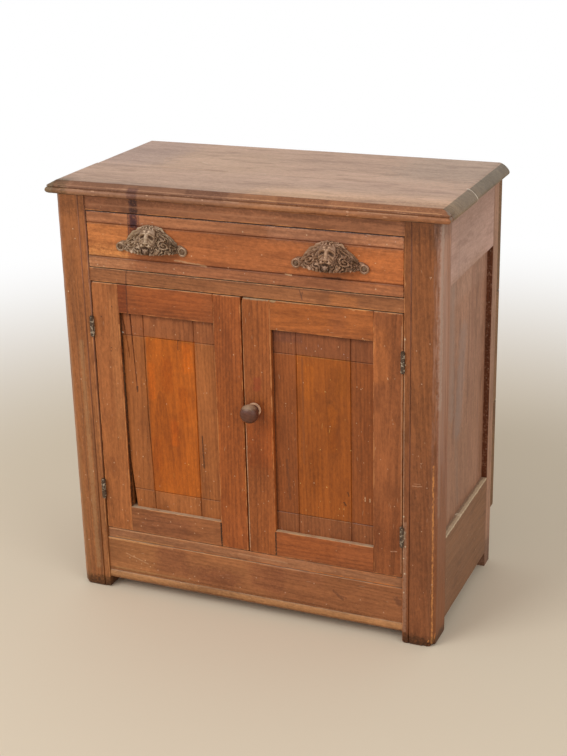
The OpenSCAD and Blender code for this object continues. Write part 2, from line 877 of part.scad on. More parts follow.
// Dovetails on the end of a side, in y and z, drawn smaller by less
module tail_shapes(less) {
    narrow = tail_pitch / 2 - 3.5 - tail_flare - less;
    for (i = [0 : tails - 1]) {
        z = side_z0 + 4 + (i + 0.5) * tail_pitch;
        polygon([
            [front_back + 1, z - narrow], [front_back, z - narrow],
            [front_back - tail_l + less, z - narrow - tail_flare], [front_back - tail_l + less, z + narrow + tail_flare],
            [front_back, z + narrow], [front_back + 1, z + narrow]
        ]);
    }
}

module bottom_board(less) {
    block([-drawer_in - bottom_in + less, front_back - bottom_in + less, bottom_z + less / 2],
          [drawer_in + bottom_in - less, drawer_end, bottom_z + drawer_bottom_t - less / 2]);
}

module drawer_side() {
    difference() {
        union() {
            block([drawer_in, front_back, side_z0], [drawer_half, drawer_end, side_z1]);
            along_x(drawer_in, drawer_half) tail_shapes(joint_fit);
        }
        bottom_board(0);
    }
}

module drawer_side_left() { color(PALE_WOOD) placed() left_hand() drawer_side(); }
module drawer_side_right() { color(PALE_WOOD) placed() drawer_side(); }

module drawer_front() {
    color(ORANGE_WOOD) placed() difference() {
        block([-drawer_half, rail_set, drawer_z0], [drawer_half, front_back, drawer_z1]);
        both_hands() along_x(drawer_in - joint_fit, drawer_half + 1) tail_shapes(0);
        bottom_board(0);
        for (z = [drawer_z0 + drawer_line_in, drawer_z1 - drawer_line_in])
            line_across(-post_in, post_in, rail_set, z);
        both_hands() for (x = pull_screw_x) screw_way(x);
    }
}

module drawer_back() {
    color(PALE_WOOD) placed() block([-drawer_in, drawer_end - drawer_back_t, bottom_z + drawer_bottom_t],
                                    [drawer_in, drawer_end, side_z1]);
}

module drawer_bottom() {
    color(PALE_WOOD) placed() bottom_board(joint_fit);
}

// Pulls: a cast hood, open below for the fingers, that bears a lion's mask in its mane, between two
// scrolls with a screw each

pull_x = post_in - pull_in;
tip_z = drawer_low + pull_up;
scroll_r = 8;
ear_x = pull_w / 2 - scroll_r;
pull_screw_x = [pull_x - ear_x, pull_x + ear_x];
pull_screw_r = 1.6;
pull_screw_l = 16;

module screw_way(x) {
    translate([x, rail_set - 1, tip_z]) rotate([-90, 0, 0])
        cylinder(r = pull_screw_r + 0.05, h = pull_screw_l + 1.3);
}

// The mask is drawn on a field this wide and this long from the crest down to the lip
mask_w = 100;
mask_l = 57;
// How much the mask adds to the hood's reach at the nose
mask_rise = 5.2;
// Width of a lock of the mane, and place and size of the curl on each side
lock_w = 7.5;
curl_at = [29.5, 38.5];
curl_r = 7.6;

// A rounded hill of half widths wx and wq at x, q on the field, and its mirror image
function knoll(p, x, q, wx, wq) = exp(-pow((abs(p[0]) - x) / wx, 2) - pow((p[1] - q) / wq, 2));

function forehead(p) = 1.8 * knoll(p, 4.6, 21, 4, 4.2) - 1.2 * knoll(p, 0, 20, 1.4, 5);
function brows(p) = 3.2 * knoll(p, 8.2, 28.4, 5, 2.2);
function eyes(p) = 1.6 * knoll(p, 8.6, 33.2, 1.8, 1.3) - 4.2 * knoll(p, 9, 33, 3.8, 2.4);
function nose(p) = 2.6 * knoll(p, 0, 33, 3.6, 9) + 3 * knoll(p, 0, 42.4, 6.4, 2.8);
function muzzle(p) = 3 * knoll(p, 5.8, 46.6, 4.8, 2.6) - 1.2 * knoll(p, 0, 47.4, 1, 2);
function mouth(p) = -5 * knoll(p, 3.2, 50.8, 5.4, 1.5);
function chin(p) = 3.6 * knoll(p, 0, 55.4, 5, 2.8);
function face(p) = 2.2 * exp(-pow(p[0] / 13.5, 4) - pow((p[1] - 36) / 19, 4));
function ears(p) = 2.8 * knoll(p, 19.5, 8, 3.6, 3.8);
function tufts(p) = 2.4 * knoll(p, 3.2, 10, 2.2, 4.6) + 2 * knoll(p, 9.6, 11, 2.4, 4.6) + 1.4 * knoll(p, 6.4, 6, 2, 3);
function furrow(p) = -3 * knoll(p, 14.8, 38, 1.9, 15);

// Locks run round the face in rings; the curl has its own rings that wind inwards
function locks(p) =
    let (
        off = [abs(p[0]) - curl_at[0], p[1] - curl_at[1]],
        curl = exp(-pow(norm(off) / curl_r, 4)),
        ring = norm([p[0], 0.72 * (p[1] - 36)]) + 1.6 * sin(16 * p[1])
    )
    1.3 * cos(360 * ring / lock_w) * (1 - curl)
    + (1 + 1.6 * cos(360 * norm(off) / lock_w - atan2(off[1], off[0]))) * curl;

function relief(p) =
    let (beside = 1 - exp(-pow(p[0] / 15, 6)), inside = 1 - pow(abs(p[0]) * 2 / mask_w, 8))
    forehead(p) + brows(p) + eyes(p) + nose(p) + muzzle(p) + mouth(p) + chin(p) + face(p)
    + inside * (beside * locks(p) + ears(p) + tufts(p) + furrow(p));

// Swell of the hood along its width, from 0 at its ends to 1 over the middle
function swell(s) = pow(cos(90 * s), 0.7);
// Height of the crest, of the lip and of the reach to the front at the share s of the half width
end_top = 5;
end_foot = 3;
function crest_at(s) = end_top + (crest_h - end_top) * pow(cos(90 * s), 0.9);
function lip_at(s) = -lip_drop * cos(90 * s) - end_foot;
function out_at(s) = ear_t + (pull_out - mask_rise - ear_t) * swell(s);

// Point of the hood's outside at s across (-1 to 1) and t from the crest (0) to the lip (1)
function shell_point(s, t) =
    let (a = 90 * t, rise = relief([s * mask_w / 2, t * mask_l]))
    [
        s * hood_w / 2,
        -min((out_at(s) + rise) * sin(a), pull_out),
        lip_at(s) + (crest_at(s) - lip_at(s)) * cos(a) + rise * cos(a)
    ];

// Point of the room inside the hood
function room_point(s, t) =
    let (a = 90 * t, low = lip_at(s))
    [
        s * (hood_w / 2 - pull_wall),
        -max(out_at(s) - pull_wall, 1) * sin(a),
        low + (crest_at(s) - low - pull_wall) * cos(a)
    ];

// Solid through a row of outlines that have the same number of points
module lofted(rings) {
    m = len(rings[0]);
    n = len(rings);
    walls = [
        for (i = [0 : n - 2]) for (j = [0 : m - 1])
            let (k = (j + 1) % m)
            each [[i * m + j, (i + 1) * m + j, (i + 1) * m + k], [i * m + j, (i + 1) * m + k, i * m + k]]
    ];
    first = [for (j = [0 : m - 1]) j];
    last = [for (j = [m - 1 : -1 : 0]) (n - 1) * m + j];
    polyhedron(points = [for (ring = rings) each ring], faces = concat(walls, [first, last]));
}

module hood() {
    cols = 56;
    rows = 28;
    lofted([
        for (i = [0 : cols])
            let (s = 2 * i / cols - 1)
            concat([for (j = [0 : rows]) shell_point(s, j / rows)], [[s * hood_w / 2, 0, lip_at(s)]])
    ]);
}

// The room for the fingers, drawn past the lip and the drawer's face so that both stay open
module finger_room() {
    cols = 20;
    rows = 7;
    past = 4;
    lofted([
        for (i = [0 : cols])
            let (s = 2 * i / cols - 1, top = room_point(s, 0), low = room_point(s, 1))
            concat([for (j = [0 : rows]) room_point(s, j / rows)],
                [[low[0], low[1], low[2] - past], [low[0], 1, low[2] - past], [top[0], 1, top[2]]])
    ]);
}

// Flat scroll beyond each end of the hood, with a raised rim round the screw
module ear() {
    rim_r = 6.2;
    rim = 1.4;
    root_r = 9;
    root_at = [ear_x - 13, 3];
    bridge = [14, 12];
    bridge_at = [ear_x - 16, -4];
    rotate([90, 0, 0]) linear_extrude(ear_t) {
        difference() {
            union() {
                translate([ear_x, 0]) circle(scroll_r);
                translate(root_at) circle(root_r);
                translate(bridge_at) square(bridge);
            }
            translate([ear_x, 0]) circle(pull_screw_r + 0.05);
        }
    }
    translate([ear_x, -ear_t, 0]) rotate([90, 0, 0])
        rotate_extrude() translate([rim_r, 0]) circle(rim, $fn = 20);
}

module pull() {
    translate([0, rail_set, tip_z]) difference() {
        union() {
            hood();
            both_hands() ear();
        }
        finger_room();
    }
}

module pull_left() { color(BRONZE) placed() translate([-pull_x, 0, 0]) pull(); }
module pull_right() { color(BRONZE) placed() translate([pull_x, 0, 0]) pull(); }

module pull_screws() {
    color(IRON) placed() both_hands() for (x = pull_screw_x)
        translate([x, rail_set, tip_z]) rotate([-90, 0, 0]) {
            translate([0, 0, -ear_t]) cylinder(r = pull_screw_r, h = ear_t + pull_screw_l);
            translate([0, 0, -ear_t - 1.6]) cylinder(r1 = 2.2, r2 = 3.4, h = 1.6, $fn = 32);
        }
}

top_front_board();
top_back_board();
front_post_left();
front_post_right();
rear_post_left();
rear_post_right();
front_top_rail();
mid_rail();
apron_rail();
apron_bead();
floor_front_board();
floor_back_board();
side_top_rail_left();
side_top_rail_right();
side_bottom_rail_left();
side_bottom_rail_right();
side_panel_left();
side_panel_right();
rear_top_rail();
back_board_upper();
back_board_middle();
back_board_lower();
drawer_runner_left();
drawer_runner_right();
drawer_guide_left();
drawer_guide_right();
drawer_kicker_left();
drawer_kicker_right();
drawer_stops();
floor_cleats();
glue_blocks();
door_stop();
post_hinge_leaves();
hinge_pins();
post_hinge_screws();
left_door_hinge_stile();
left_door_meeting_stile();
left_door_top_rail();
left_door_bottom_rail();
left_door_panel();
left_door_hinge_leaves();
left_door_hinge_screws();
right_door_hinge_stile();
right_door_meeting_stile();
right_door_top_rail();
right_door_bottom_rail();
right_door_panel();
right_door_hinge_leaves();
right_door_hinge_screws();
door_knob();
knob_collar();
knob_screw();
drawer_front();
drawer_side_left();
drawer_side_right();
drawer_back();
drawer_bottom();
pull_left();
pull_right();
pull_screws();
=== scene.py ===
"""Looks of an old stained pine washstand, one drawer over two doors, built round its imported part."""
import json

import bpy
import numpy as np
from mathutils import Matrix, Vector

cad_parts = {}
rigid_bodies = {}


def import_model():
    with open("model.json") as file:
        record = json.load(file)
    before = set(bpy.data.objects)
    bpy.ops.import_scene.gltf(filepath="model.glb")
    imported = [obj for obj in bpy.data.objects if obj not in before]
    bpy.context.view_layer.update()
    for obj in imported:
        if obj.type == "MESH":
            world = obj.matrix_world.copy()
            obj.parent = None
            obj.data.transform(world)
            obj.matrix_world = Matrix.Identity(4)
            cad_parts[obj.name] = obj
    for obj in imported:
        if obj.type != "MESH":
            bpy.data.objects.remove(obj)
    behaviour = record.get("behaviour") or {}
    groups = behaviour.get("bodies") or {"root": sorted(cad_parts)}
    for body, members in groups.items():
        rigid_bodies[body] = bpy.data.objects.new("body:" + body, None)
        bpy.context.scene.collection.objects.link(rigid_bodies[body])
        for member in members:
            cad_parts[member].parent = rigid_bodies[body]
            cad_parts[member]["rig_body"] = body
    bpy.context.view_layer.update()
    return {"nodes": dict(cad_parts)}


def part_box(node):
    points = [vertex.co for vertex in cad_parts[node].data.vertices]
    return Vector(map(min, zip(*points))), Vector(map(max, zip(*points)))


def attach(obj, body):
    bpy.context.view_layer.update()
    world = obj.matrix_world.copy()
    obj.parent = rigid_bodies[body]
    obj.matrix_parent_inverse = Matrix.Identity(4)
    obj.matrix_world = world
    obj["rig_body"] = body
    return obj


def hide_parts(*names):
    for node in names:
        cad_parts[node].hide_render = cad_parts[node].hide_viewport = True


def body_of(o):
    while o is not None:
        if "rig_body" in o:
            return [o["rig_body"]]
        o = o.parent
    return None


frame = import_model()

# Front posts
# Two square lengths of pine run from the floor to the top and stand as the feet. Each is planed with
# a chamfer on its outer arris and a line scratched beside the opening, and its foot is worn.

MM = 0.001


def shade(red, green, blue):
    """Linear colour of one given as 0 to 255 on a screen: ((c + 0.055) / 1.055) to the power 2.4."""
    return tuple(((c / 255 + 0.055) / 1.055) ** 2.4 for c in (red, green, blue)) + (1.0,)


def put(tree, kind, given=(), **settings):
    """Adds a shader node and returns its outputs; given pairs inputs with values or other outputs."""
    node = tree.nodes.new("ShaderNode" + kind)
    for key, value in settings.items():
        setattr(node, key, value)
    for key, value in dict(given).items():
        if isinstance(value, bpy.types.NodeSocket):
            tree.links.new(value, node.inputs[key])
        else:
            node.inputs[key].default_value = value
    return node.outputs


def reckon(tree, operation, a, b=0.0, clamp=False):
    """Result of a maths node, kept between 0 and 1 if clamp is set."""
    return put(tree, "Math", {0: a, 1: b}, operation=operation, use_clamp=clamp)[0]


def scaled(tree, a, b, c=0.0, clamp=False):
    """a * b + c, kept between 0 and 1 if clamp is set."""
    return put(tree, "Math", {0: a, 1: b, 2: c}, operation="MULTIPLY_ADD", use_clamp=clamp)[0]


def vector(tree, operation, a, b=(0, 0, 0), c=(0, 0, 0)):
    """Result of a vector maths node, which is a number for a length or a dot product."""
    given = {0: a, 1: b, 2: c} if operation == "MULTIPLY_ADD" else {0: a, 1: b}
    outputs = put(tree, "VectorMath", given, operation=operation)
    return outputs["Value"] if operation in ("LENGTH", "DOT_PRODUCT") else outputs[0]


def grade(tree, value, low, high, start=0.0, end=1.0):
    """Smooth step of value from start at low to end at high."""
    given = {"Value": value, "From Min": low, "From Max": high, "To Min": start, "To Max": end}
    return put(tree, "MapRange", given, interpolation_type="SMOOTHSTEP")[0]


def cloud(tree, point, stretch, detail=3.0, rough=0.55, out="Fac"):
    """Cloudy pattern whose lumps are 1/stretch metres long in each direction."""
    spot = vector(tree, "MULTIPLY", point, stretch)
    return put(tree, "TexNoise", {"Vector": spot, "Scale": 1.0, "Detail": detail, "Roughness": rough})[out]


def tint(tree, share, under, over):
    """Colour that goes from under to over as share goes from 0 to 1."""
    return put(tree, "Mix", {0: share, 6: under, 7: over}, data_type="RGBA")[2]


def new_material(name):
    """A new material with its node tree and its shader."""
    material = bpy.data.materials.new(name)
    material.use_nodes = True
    return material, material.node_tree, material.node_tree.nodes["Principled BSDF"]


def pine_group():
    """Aged, stained pine: year rings round a pith behind the face, fine streaks along the grain and
    clouds of stain set the depth of tone; then worn arrises, pale and dark specks, and dust."""
    tree = bpy.data.node_groups.new("aged_pine", "ShaderNodeTree")
    names = {"Vector": "Point Spot", "Color": "Light Deep Bare Dirt",
             "Float": "Edge Streaks Clouds Figure Wear Specks Dust Rough"}
    for kind, some in names.items():
        for name in some.split():
            tree.interface.new_socket(name, in_out="INPUT", socket_type="NodeSocket" + kind)
    for kind, name in (("Color", "Colour"), ("Float", "Roughness"), ("Float", "Height"), ("Float", "Gloss")):
        tree.interface.new_socket(name, in_out="OUTPUT", socket_type="NodeSocket" + kind)
    given = tree.nodes.new("NodeGroupInput").outputs
    point = given["Point"]
    # Depth of tone, from grain and stain
    stain = cloud(tree, point, (3.5, 15, 15), 4.0, 0.6)
    band = cloud(tree, vector(tree, "ADD", point, (1, 4, 3)), (9, 95, 95), 3.0, 0.6)
    blot = cloud(tree, vector(tree, "ADD", point, (3, 1, 2)), (15, 46, 46), 4.0, 0.6)
    mottle = cloud(tree, point, (120, 230, 230), 4.0, 0.75)
    fibre = cloud(tree, point, (13, 330, 330), 4.0, 0.6)
    hair = cloud(tree, point, (30, 1300, 1300), 2.0)
    ring = {"Vector": vector(tree, "MULTIPLY", point, (0.12, 1, 1)), "Scale": 64.0, "Distortion": 5.0,
            "Detail": 2.0, "Detail Scale": 0.13, "Detail Roughness": 0.5}
    rings = put(tree, "TexWave", ring, wave_type="RINGS", rings_direction="X", wave_profile="SAW")["Fac"]
    late = grade(tree, rings, 0.35, 0.97)
    depth = scaled(tree, reckon(tree, "SUBTRACT", stain, 0.5), given["Clouds"], 0.5)
    fine = scaled(tree, hair, 0.35, scaled(tree, fibre, 0.55, -1.15))
    fine = scaled(tree, mottle, 1.0, scaled(tree, band, 0.4, fine))
    depth = scaled(tree, fine, given["Streaks"], depth)
    depth = scaled(tree, reckon(tree, "SUBTRACT", late, 0.35), given["Figure"], depth, clamp=True)
    colour = tint(tree, depth, given["Light"], given["Deep"])
    colour = tint(tree, grade(tree, blot, 0.51, 0.72, 0.0, 0.65), colour, given["Dirt"])
    # Bare wood on worn arrises
    chewed = cloud(tree, point, (34, 110, 110), 4.0, 0.65)
    reach = scaled(tree, given["Wear"], grade(tree, chewed, 0.36, 0.68, 0.15, 2.6))
    bare = grade(tree, given["Edge"], 0.0, reach, 0.9, 0.0)
    colour = tint(tree, bare, colour, given["Bare"])
    # Round specks, crowded in places, and long nicks
    jitter = cloud(tree, given["Spot"], (420, 420, 420), 2.0, 0.5, "Color")
    ragged = vector(tree, "MULTIPLY_ADD", jitter, (0.0026,) * 3, given["Spot"])
    cells = put(tree, "TexVoronoi", {"Vector": ragged, "Scale": 90.0})
    lot = put(tree, "SeparateColor", {0: cells["Color"]})
    size = scaled(tree, lot[0], 0.1, 0.025)
    dot = grade(tree, cells["Distance"], scaled(tree, size, 0.55), size, 1.0, 0.0)
    crowd = grade(tree, cloud(tree, given["Spot"], (22, 22, 22), 2.0), 0.36, 0.64, 0.1, 1.9)
    here = reckon(tree, "LESS_THAN", lot[1], scaled(tree, given["Specks"], crowd))
    pale = scaled(tree, dot, here)
    bent = cloud(tree, given["Spot"], (9, 9, 9), 1.0, 0.5, "Color")
    bent = vector(tree, "MULTIPLY_ADD", bent, (0.05,) * 3, point)
    nicks = put(tree, "TexVoronoi", {"Vector": vector(tree, "MULTIPLY", bent, (26, 330, 330)), "Scale": 1.0})
    chosen = put(tree, "SeparateColor", {0: nicks["Color"]})[1]
    chosen = reckon(tree, "LESS_THAN", chosen, scaled(tree, given["Specks"], 0.22))
    nick = scaled(tree, grade(tree, nicks["Distance"], 0.08, 0.2, 0.6, 0.0), chosen)
    pale = reckon(tree, "MAXIMUM", pale, nick)
    colour = tint(tree, scaled(tree, pale, 0.75), colour, shade(206, 166, 130))
    soot = scaled(tree, dot, reckon(tree, "GREATER_THAN", lot[1], 0.8))
    colour = tint(tree, scaled(tree, soot, 0.5), colour, shade(66, 36, 22))
    # Dust on what faces up and grime in what is sunk
    hollow = put(tree, "Attribute", attribute_name="hollow")["Fac"]
    upward = put(tree, "SeparateXYZ", {0: put(tree, "NewGeometry")["Normal"]})[2]
    dust = scaled(tree, grade(tree, upward, 0.45, 0.9), given["Dust"])
    dust = scaled(tree, dust, grade(tree, hollow, 0.0, 0.3, 1.0, 0.0))
    patchy = cloud(tree, given["Spot"], (60, 60, 60), 3.0)
    dust = scaled(tree, dust, grade(tree, patchy, 0.3, 0.6, 0.55, 1.0))
    colour = tint(tree, dust, colour, shade(186, 158, 128))
    grimy = scaled(tree, hollow, grade(tree, mottle, 0.35, 0.6, 0.6, 0.95))
    colour = tint(tree, grimy, colour, shade(68, 34, 20))
    # Sheen and relief
    rough = scaled(tree, fibre, 0.2, given["Rough"])
    rough = scaled(tree, reckon(tree, "MAXIMUM", dust, bare), 0.18, rough)
    high = scaled(tree, late, -0.25, scaled(tree, hair, 0.5, fibre))
    high = scaled(tree, pale, -0.8, high)
    gloss = scaled(tree, hollow, -0.28, 0.3)
    out = tree.nodes.new("NodeGroupOutput").inputs
    for name, value in (("Colour", colour), ("Roughness", rough), ("Height", high), ("Gloss", gloss)):
        tree.links.new(value, out[name])
    return tree


AGED_PINE = pine_group()
# Light that the varnish throws back over any tone, taken off the tones that are given
HAZE = 0.012


def pine(name, low, high, tone, grain="xz", seed=0, light=1.4, deep=0.62, streaks=1.5, clouds=1.3,
         figure=0.22, wear=1.3, specks=0.32, dust=0.75, rough=0.4, bare=(206, 138, 84), dirt=None, face="xz",
         ends=False, marks=(), flank_fade_and_light=None, behind=False):
    """Material of one board. grain names the axis along the grain and the axis across the face; tone
    is its mean colour. Wear is measured from the arrises of the box low-high, in mm. Marks come from
    stroke, zone, area and dots, and those on an upright board seen from the front stay on the front
    half of its thickness, or on the rear one. The tones for its sides, above and below, are faded
    wood under a painted sheen above and a painted shade below."""
    material, tree, shader = new_material(name)
    spot = put(tree, "TexCoord")["Object"]
    axes = put(tree, "SeparateXYZ", {0: spot})
    # The grain runs round a pith that lies behind the face, a little askew
    along, across = ("xyz".index(c) for c in grain)
    through = 3 - along - across
    turned = put(tree, "CombineXYZ", {0: axes[along], 1: axes[across], 2: axes[through]})[0]
    lot = np.random.default_rng(seed)
    mid = (np.array(low) + np.array(high))[[along, across, through]] / 2
    pith = lot.uniform((-2, -0.03, 0.03), (2, 0.03, 0.07)) - mid
    tilt = lot.uniform((0, -0.03, -0.04), (0, 0.03, 0.04))
    point = put(tree, "Mapping", {"Vector": turned, "Location": pith, "Rotation": tilt})[0]
    # Distance from the nearest arris: the second smallest of the distances from the box's sides.
    # Jointed ends aren't arrises, so the box is lengthened past them.
    box_low, box_high = np.array(low), np.array(high)
    if not ends:
        box_low[along] -= 0.05
        box_high[along] += 0.05
    inside = vector(tree, "MINIMUM", vector(tree, "SUBTRACT", spot, tuple(box_low)),
                    vector(tree, "SUBTRACT", tuple(box_high), spot))
    a, b, c = put(tree, "SeparateXYZ", {0: inside})
    second = reckon(tree, "MAXIMUM", reckon(tree, "MINIMUM", a, b),
                    reckon(tree, "MINIMUM", reckon(tree, "MAXIMUM", a, b), c))
    # Tones and amounts for the group
    base = np.maximum(np.array(shade(*tone)) - HAZE, 0.004)
    base[3] = 1
    dark = base * (deep, deep * 0.94, deep * 0.88, 1)
    dirt = shade(*dirt) if dirt else tuple(base * (0.62, 0.55, 0.5, 1))
    group = put(tree, "Group", node_tree=AGED_PINE)
    inputs = tree.nodes[-1].inputs
    amounts = {"Light": np.minimum(base * light, 1), "Deep": dark, "Bare": shade(*bare), "Dirt": dirt,
               "Streaks": streaks, "Clouds": clouds, "Figure": figure, "Wear": wear * MM, "Specks": specks,
               "Dust": dust, "Rough": rough}
    for key, value in amounts.items():
        inputs[key].default_value = value if np.isscalar(value) else tuple(value)
    for key, value in (("Point", point), ("Spot", spot), ("Edge", second)):
        tree.links.new(value, inputs[key])
    colour = group["Colour"]
    # A post's sides go from a painted shade below to a pale painted sheen above, over faded wood, and the
    # stain is worn off them in patches
    if flank_fade_and_light:
        normal = put(tree, "SeparateXYZ", {0: put(tree, "NewGeometry")["Normal"]})
        sideways = reckon(tree, "ABSOLUTE", normal[0])
        sideways = scaled(tree, cloud(tree, spot, (260, 260, 40), 3.0, 0.6), 0.5, sideways)
        upper, lower = flank_fade_and_light
        faded_and_lit = tint(tree, grade(tree, axes[2], 0.05, 0.75), shade(*lower), shade(*upper))
        worn_off = grade(tree, cloud(tree, spot, (150, 150, 7), 3.0), 0.3, 0.7, 0.15, 0.75)
        thin = tint(tree, worn_off, faded_and_lit, colour)
        colour = tint(tree, grade(tree, sideways, 0.8, 1.15), colour, thin)
    # Marks: far is the distance from a stroke's line or from a zone's edge
    plain = colour
    flat = put(tree, "CombineXYZ", {0: axes["xyz".index(face[0])], 1: axes["xyz".index(face[1])]})[0]
    ragged = vector(tree, "SUBTRACT", cloud(tree, spot, (170, 170, 170), 3.0, 0.6, "Color"), (0.5,) * 3)
    torn = cloud(tree, spot, (300, 300, 300), 3.0, 0.6)
    for kind, one, other, soft, hue, strength in marks:
        solid = len(one) == 3
        one, other = (np.array(tuple(at) + (0,) * (3 - len(at))) * MM for at in (one, other))
        loose = soft * MM * (0.5 if kind == "area" else 1.6)
        shifted = vector(tree, "MULTIPLY_ADD", ragged, (loose, loose, loose * solid), spot if solid else flat)
        if kind == "stroke":
            run = other - one
            rel = vector(tree, "SUBTRACT", shifted, tuple(one))
            part = vector(tree, "DOT_PRODUCT", rel, tuple(run))
            part = reckon(tree, "DIVIDE", part, float(run @ run) + 1e-12, clamp=True)
            nearest = put(tree, "VectorMath", {0: tuple(run), "Scale": part}, operation="SCALE")[0]
            far, start = vector(tree, "LENGTH", vector(tree, "SUBTRACT", rel, nearest)), soft * MM * 0.35
        else:
            off = vector(tree, "ABSOLUTE", vector(tree, "SUBTRACT", shifted, tuple((one + other) / 2)))
            off = vector(tree, "MAXIMUM", vector(tree, "SUBTRACT", off, tuple(abs(other - one) / 2)))
            far, start = vector(tree, "LENGTH", off), 0.0
        share = grade(tree, far, start, soft * MM, strength, 0.0)
        if kind != "area":
            share = scaled(tree, share, grade(tree, torn, 0.3, 0.5, 0.4, 1.0))
        if kind == "stroke":
            colour = tint(tree, share, colour, shade(*hue))
        else:
            ratio = tuple(np.maximum(np.array(shade(*hue)) - HAZE, 0.004) / base)
            given = {0: share, 6: colour, 7: ratio}
            colour = put(tree, "Mix", given, data_type="RGBA", blend_type="MULTIPLY")[2]
    if face == "xz" and marks and not flank_fade_and_light:
        side = reckon(tree, "GREATER_THAN" if behind else "LESS_THAN", axes[1], (low[1] + high[1]) / 2)
        colour = tint(tree, side, plain, colour)
    tree.links.new(colour, shader.inputs["Base Color"])
    tree.links.new(group["Roughness"], shader.inputs["Roughness"])
    bump = put(tree, "Bump", {"Strength": 0.6, "Distance": 0.00035, "Height": group["Height"]})[0]
    tree.links.new(bump, shader.inputs["Normal"])
    tree.links.new(group["Gloss"], shader.inputs["Specular IOR Level"])
    return material


def stroke(start, end, half_width, hue, strength):
    """Mark of paint or dirt along a line, in mm on the face's two axes or in space."""
    return "stroke", start, end, half_width, hue, strength


def zone(corner, opposite, softness, hue, strength):
    """Mark with a torn edge that multiplies the wood's own colour until its mean is the one given."""
    return "zone", corner, opposite, softness, hue, strength


def area(corner, opposite, softness, hue, strength):
    """Like a zone, but with an even edge."""
    return "area", corner, opposite, softness, hue, strength


def dots(hue, size, *places):
    """Marks for specks of one colour and size in mm."""
    return [stroke(at, at, size, hue, 0.9) for at in places]


def wander(points, size, seed=0):
    """Unevenness between about -1 and 1: the mean of ten sine waves, each about size long, that run in
    different directions."""
    lot = np.random.default_rng(seed)
    way = lot.normal(size=(10, points.shape[-1]))
    way *= (2 * np.pi / size * lot.uniform(0.6, 1.7, 10) / np.linalg.norm(way, axis=1))[:, None]
    return 2 * np.sin(points @ way.T + lot.uniform(0, 7, 10)).mean(-1)


def eased(corners, radii):
    """Outline with rounded corners. At a corner c, with unit steps u and v to its neighbours and a
    radius r, the points are c + r ((1 - t)^2 u + t^2 v) for t from 0 to 1, and one more on each side,
    0.9 mm further from the corner."""
    corners = np.asarray(corners, float)
    u, v = np.roll(corners, 1, 0) - corners, np.roll(corners, -1, 0) - corners
    u, v = (w[:, None, :] / np.linalg.norm(w, axis=1)[:, None, None] for w in (u, v))
    t = np.linspace(0, 1, 5)[:, None]
    r = np.asarray(radii, float)[..., None, None]
    arc = np.concatenate([(r + 0.9 * MM) * u, r * ((1 - t) ** 2 * u + t ** 2 * v), (r + 0.9 * MM) * v], -2)
    arc = arc + corners[:, None, :]
    return arc.reshape(arc.shape[:-3] + (-1, 2))


def filled(ring, step):
    """The outlines ring (rows of points) with points added between, by straight interpolation, where
    the first outline's points are further apart than step."""
    closed = np.concatenate([ring, ring[:, :1]], 1)
    parts = np.ceil(np.linalg.norm(np.diff(closed[0], axis=0), axis=1) / step).clip(1).astype(int)
    at = np.concatenate([i + np.arange(n) / n for i, n in enumerate(parts)])
    i, f = at.astype(int), (at % 1)[:, None]
    return closed[:, i] * (1 - f) + closed[:, i + 1] * f


def weave(rows, cols, closed=False):
    """Quads between neighbours in a grid of points numbered row by row; closed joins the last column
    to the first."""
    i = np.arange(rows * cols).reshape(rows, cols)
    if closed:
        i = np.hstack([i, i[:, :1]])
    return np.stack([i[:-1, :-1], i[:-1, 1:], i[1:, 1:], i[1:, :-1]], -1).reshape(-1, 4)


def bitten(points, bites):
    """Takes chips out: a point inside a bite's sphere moves straight away from its centre to the
    sphere's surface. A bite is (x, y, z, radius) in mm."""
    for *centre, radius in np.array(bites, float).reshape(-1, 4) * MM:
        away = points - centre
        far = np.linalg.norm(away, axis=-1, keepdims=True)
        points = np.where(far < radius, centre + away * radius / np.maximum(far, 1e-9), points)
    return points


def placed(name, data):
    """A new object with this data, in the scene."""
    made = bpy.data.objects.new(name, data)
    bpy.context.scene.collection.objects.link(made)
    return made


def piece(name, points, faces, finish, slot, *nodes, hollow=None):
    """Makes the mesh an object at the origin that rides and stands for the CAD nodes, clipped to the
    box round them; equal points become one, and faces left without an area are dropped. hollow says
    how deep in a line, crack or recess each point lies, from 0 to 1."""
    boxes = np.array([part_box(node) for node in nodes])
    points = np.clip(np.reshape(points, (-1, 3)), boxes[:, 0].min(0), boxes[:, 1].max(0))
    flat, kept, back = np.unique(np.round(points, 7), axis=0, return_index=True, return_inverse=True)
    back = back.reshape(-1)
    clean = []
    for some in faces:
        some = back[np.asarray(some)]
        if some.ndim == 2:
            clean += [[a for k, a in enumerate(row) if a != row[k - 1]] for row in some.tolist()]
        else:
            clean.append([a for k, a in enumerate(some.tolist()) if a != some[k - 1]])
    mesh = bpy.data.meshes.new(name)
    mesh.from_pydata(flat.tolist(), [], [face for face in clean if len(set(face)) > 2])
    mesh.shade_smooth()
    mesh.set_sharp_from_angle(angle=0.7)
    if hollow is not None:
        deep = np.ascontiguousarray(np.reshape(hollow, -1)[kept], np.float32)
        mesh.attributes.new("hollow", "FLOAT", "POINT").data.foreach_set("value", deep)
    made = placed(name, mesh)
    mesh.materials.append(finish)
    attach(made, body_of(frame["nodes"][nodes[0]])[0])
    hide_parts(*nodes)
    return made


def swept(rings):
    """Quads round and along a row of closed outlines, with one face over each end."""
    rows, cols = rings.shape[:2]
    first, last = np.arange(cols)[::-1], np.arange(cols) + (rows - 1) * cols
    return [weave(rows, cols, closed=True), first, last]


LINE_IN, LINE_WIDE, CHAMFER, FOOT_BEVEL = 11.5 * MM, 2.4 * MM, 10 * MM, 3 * MM
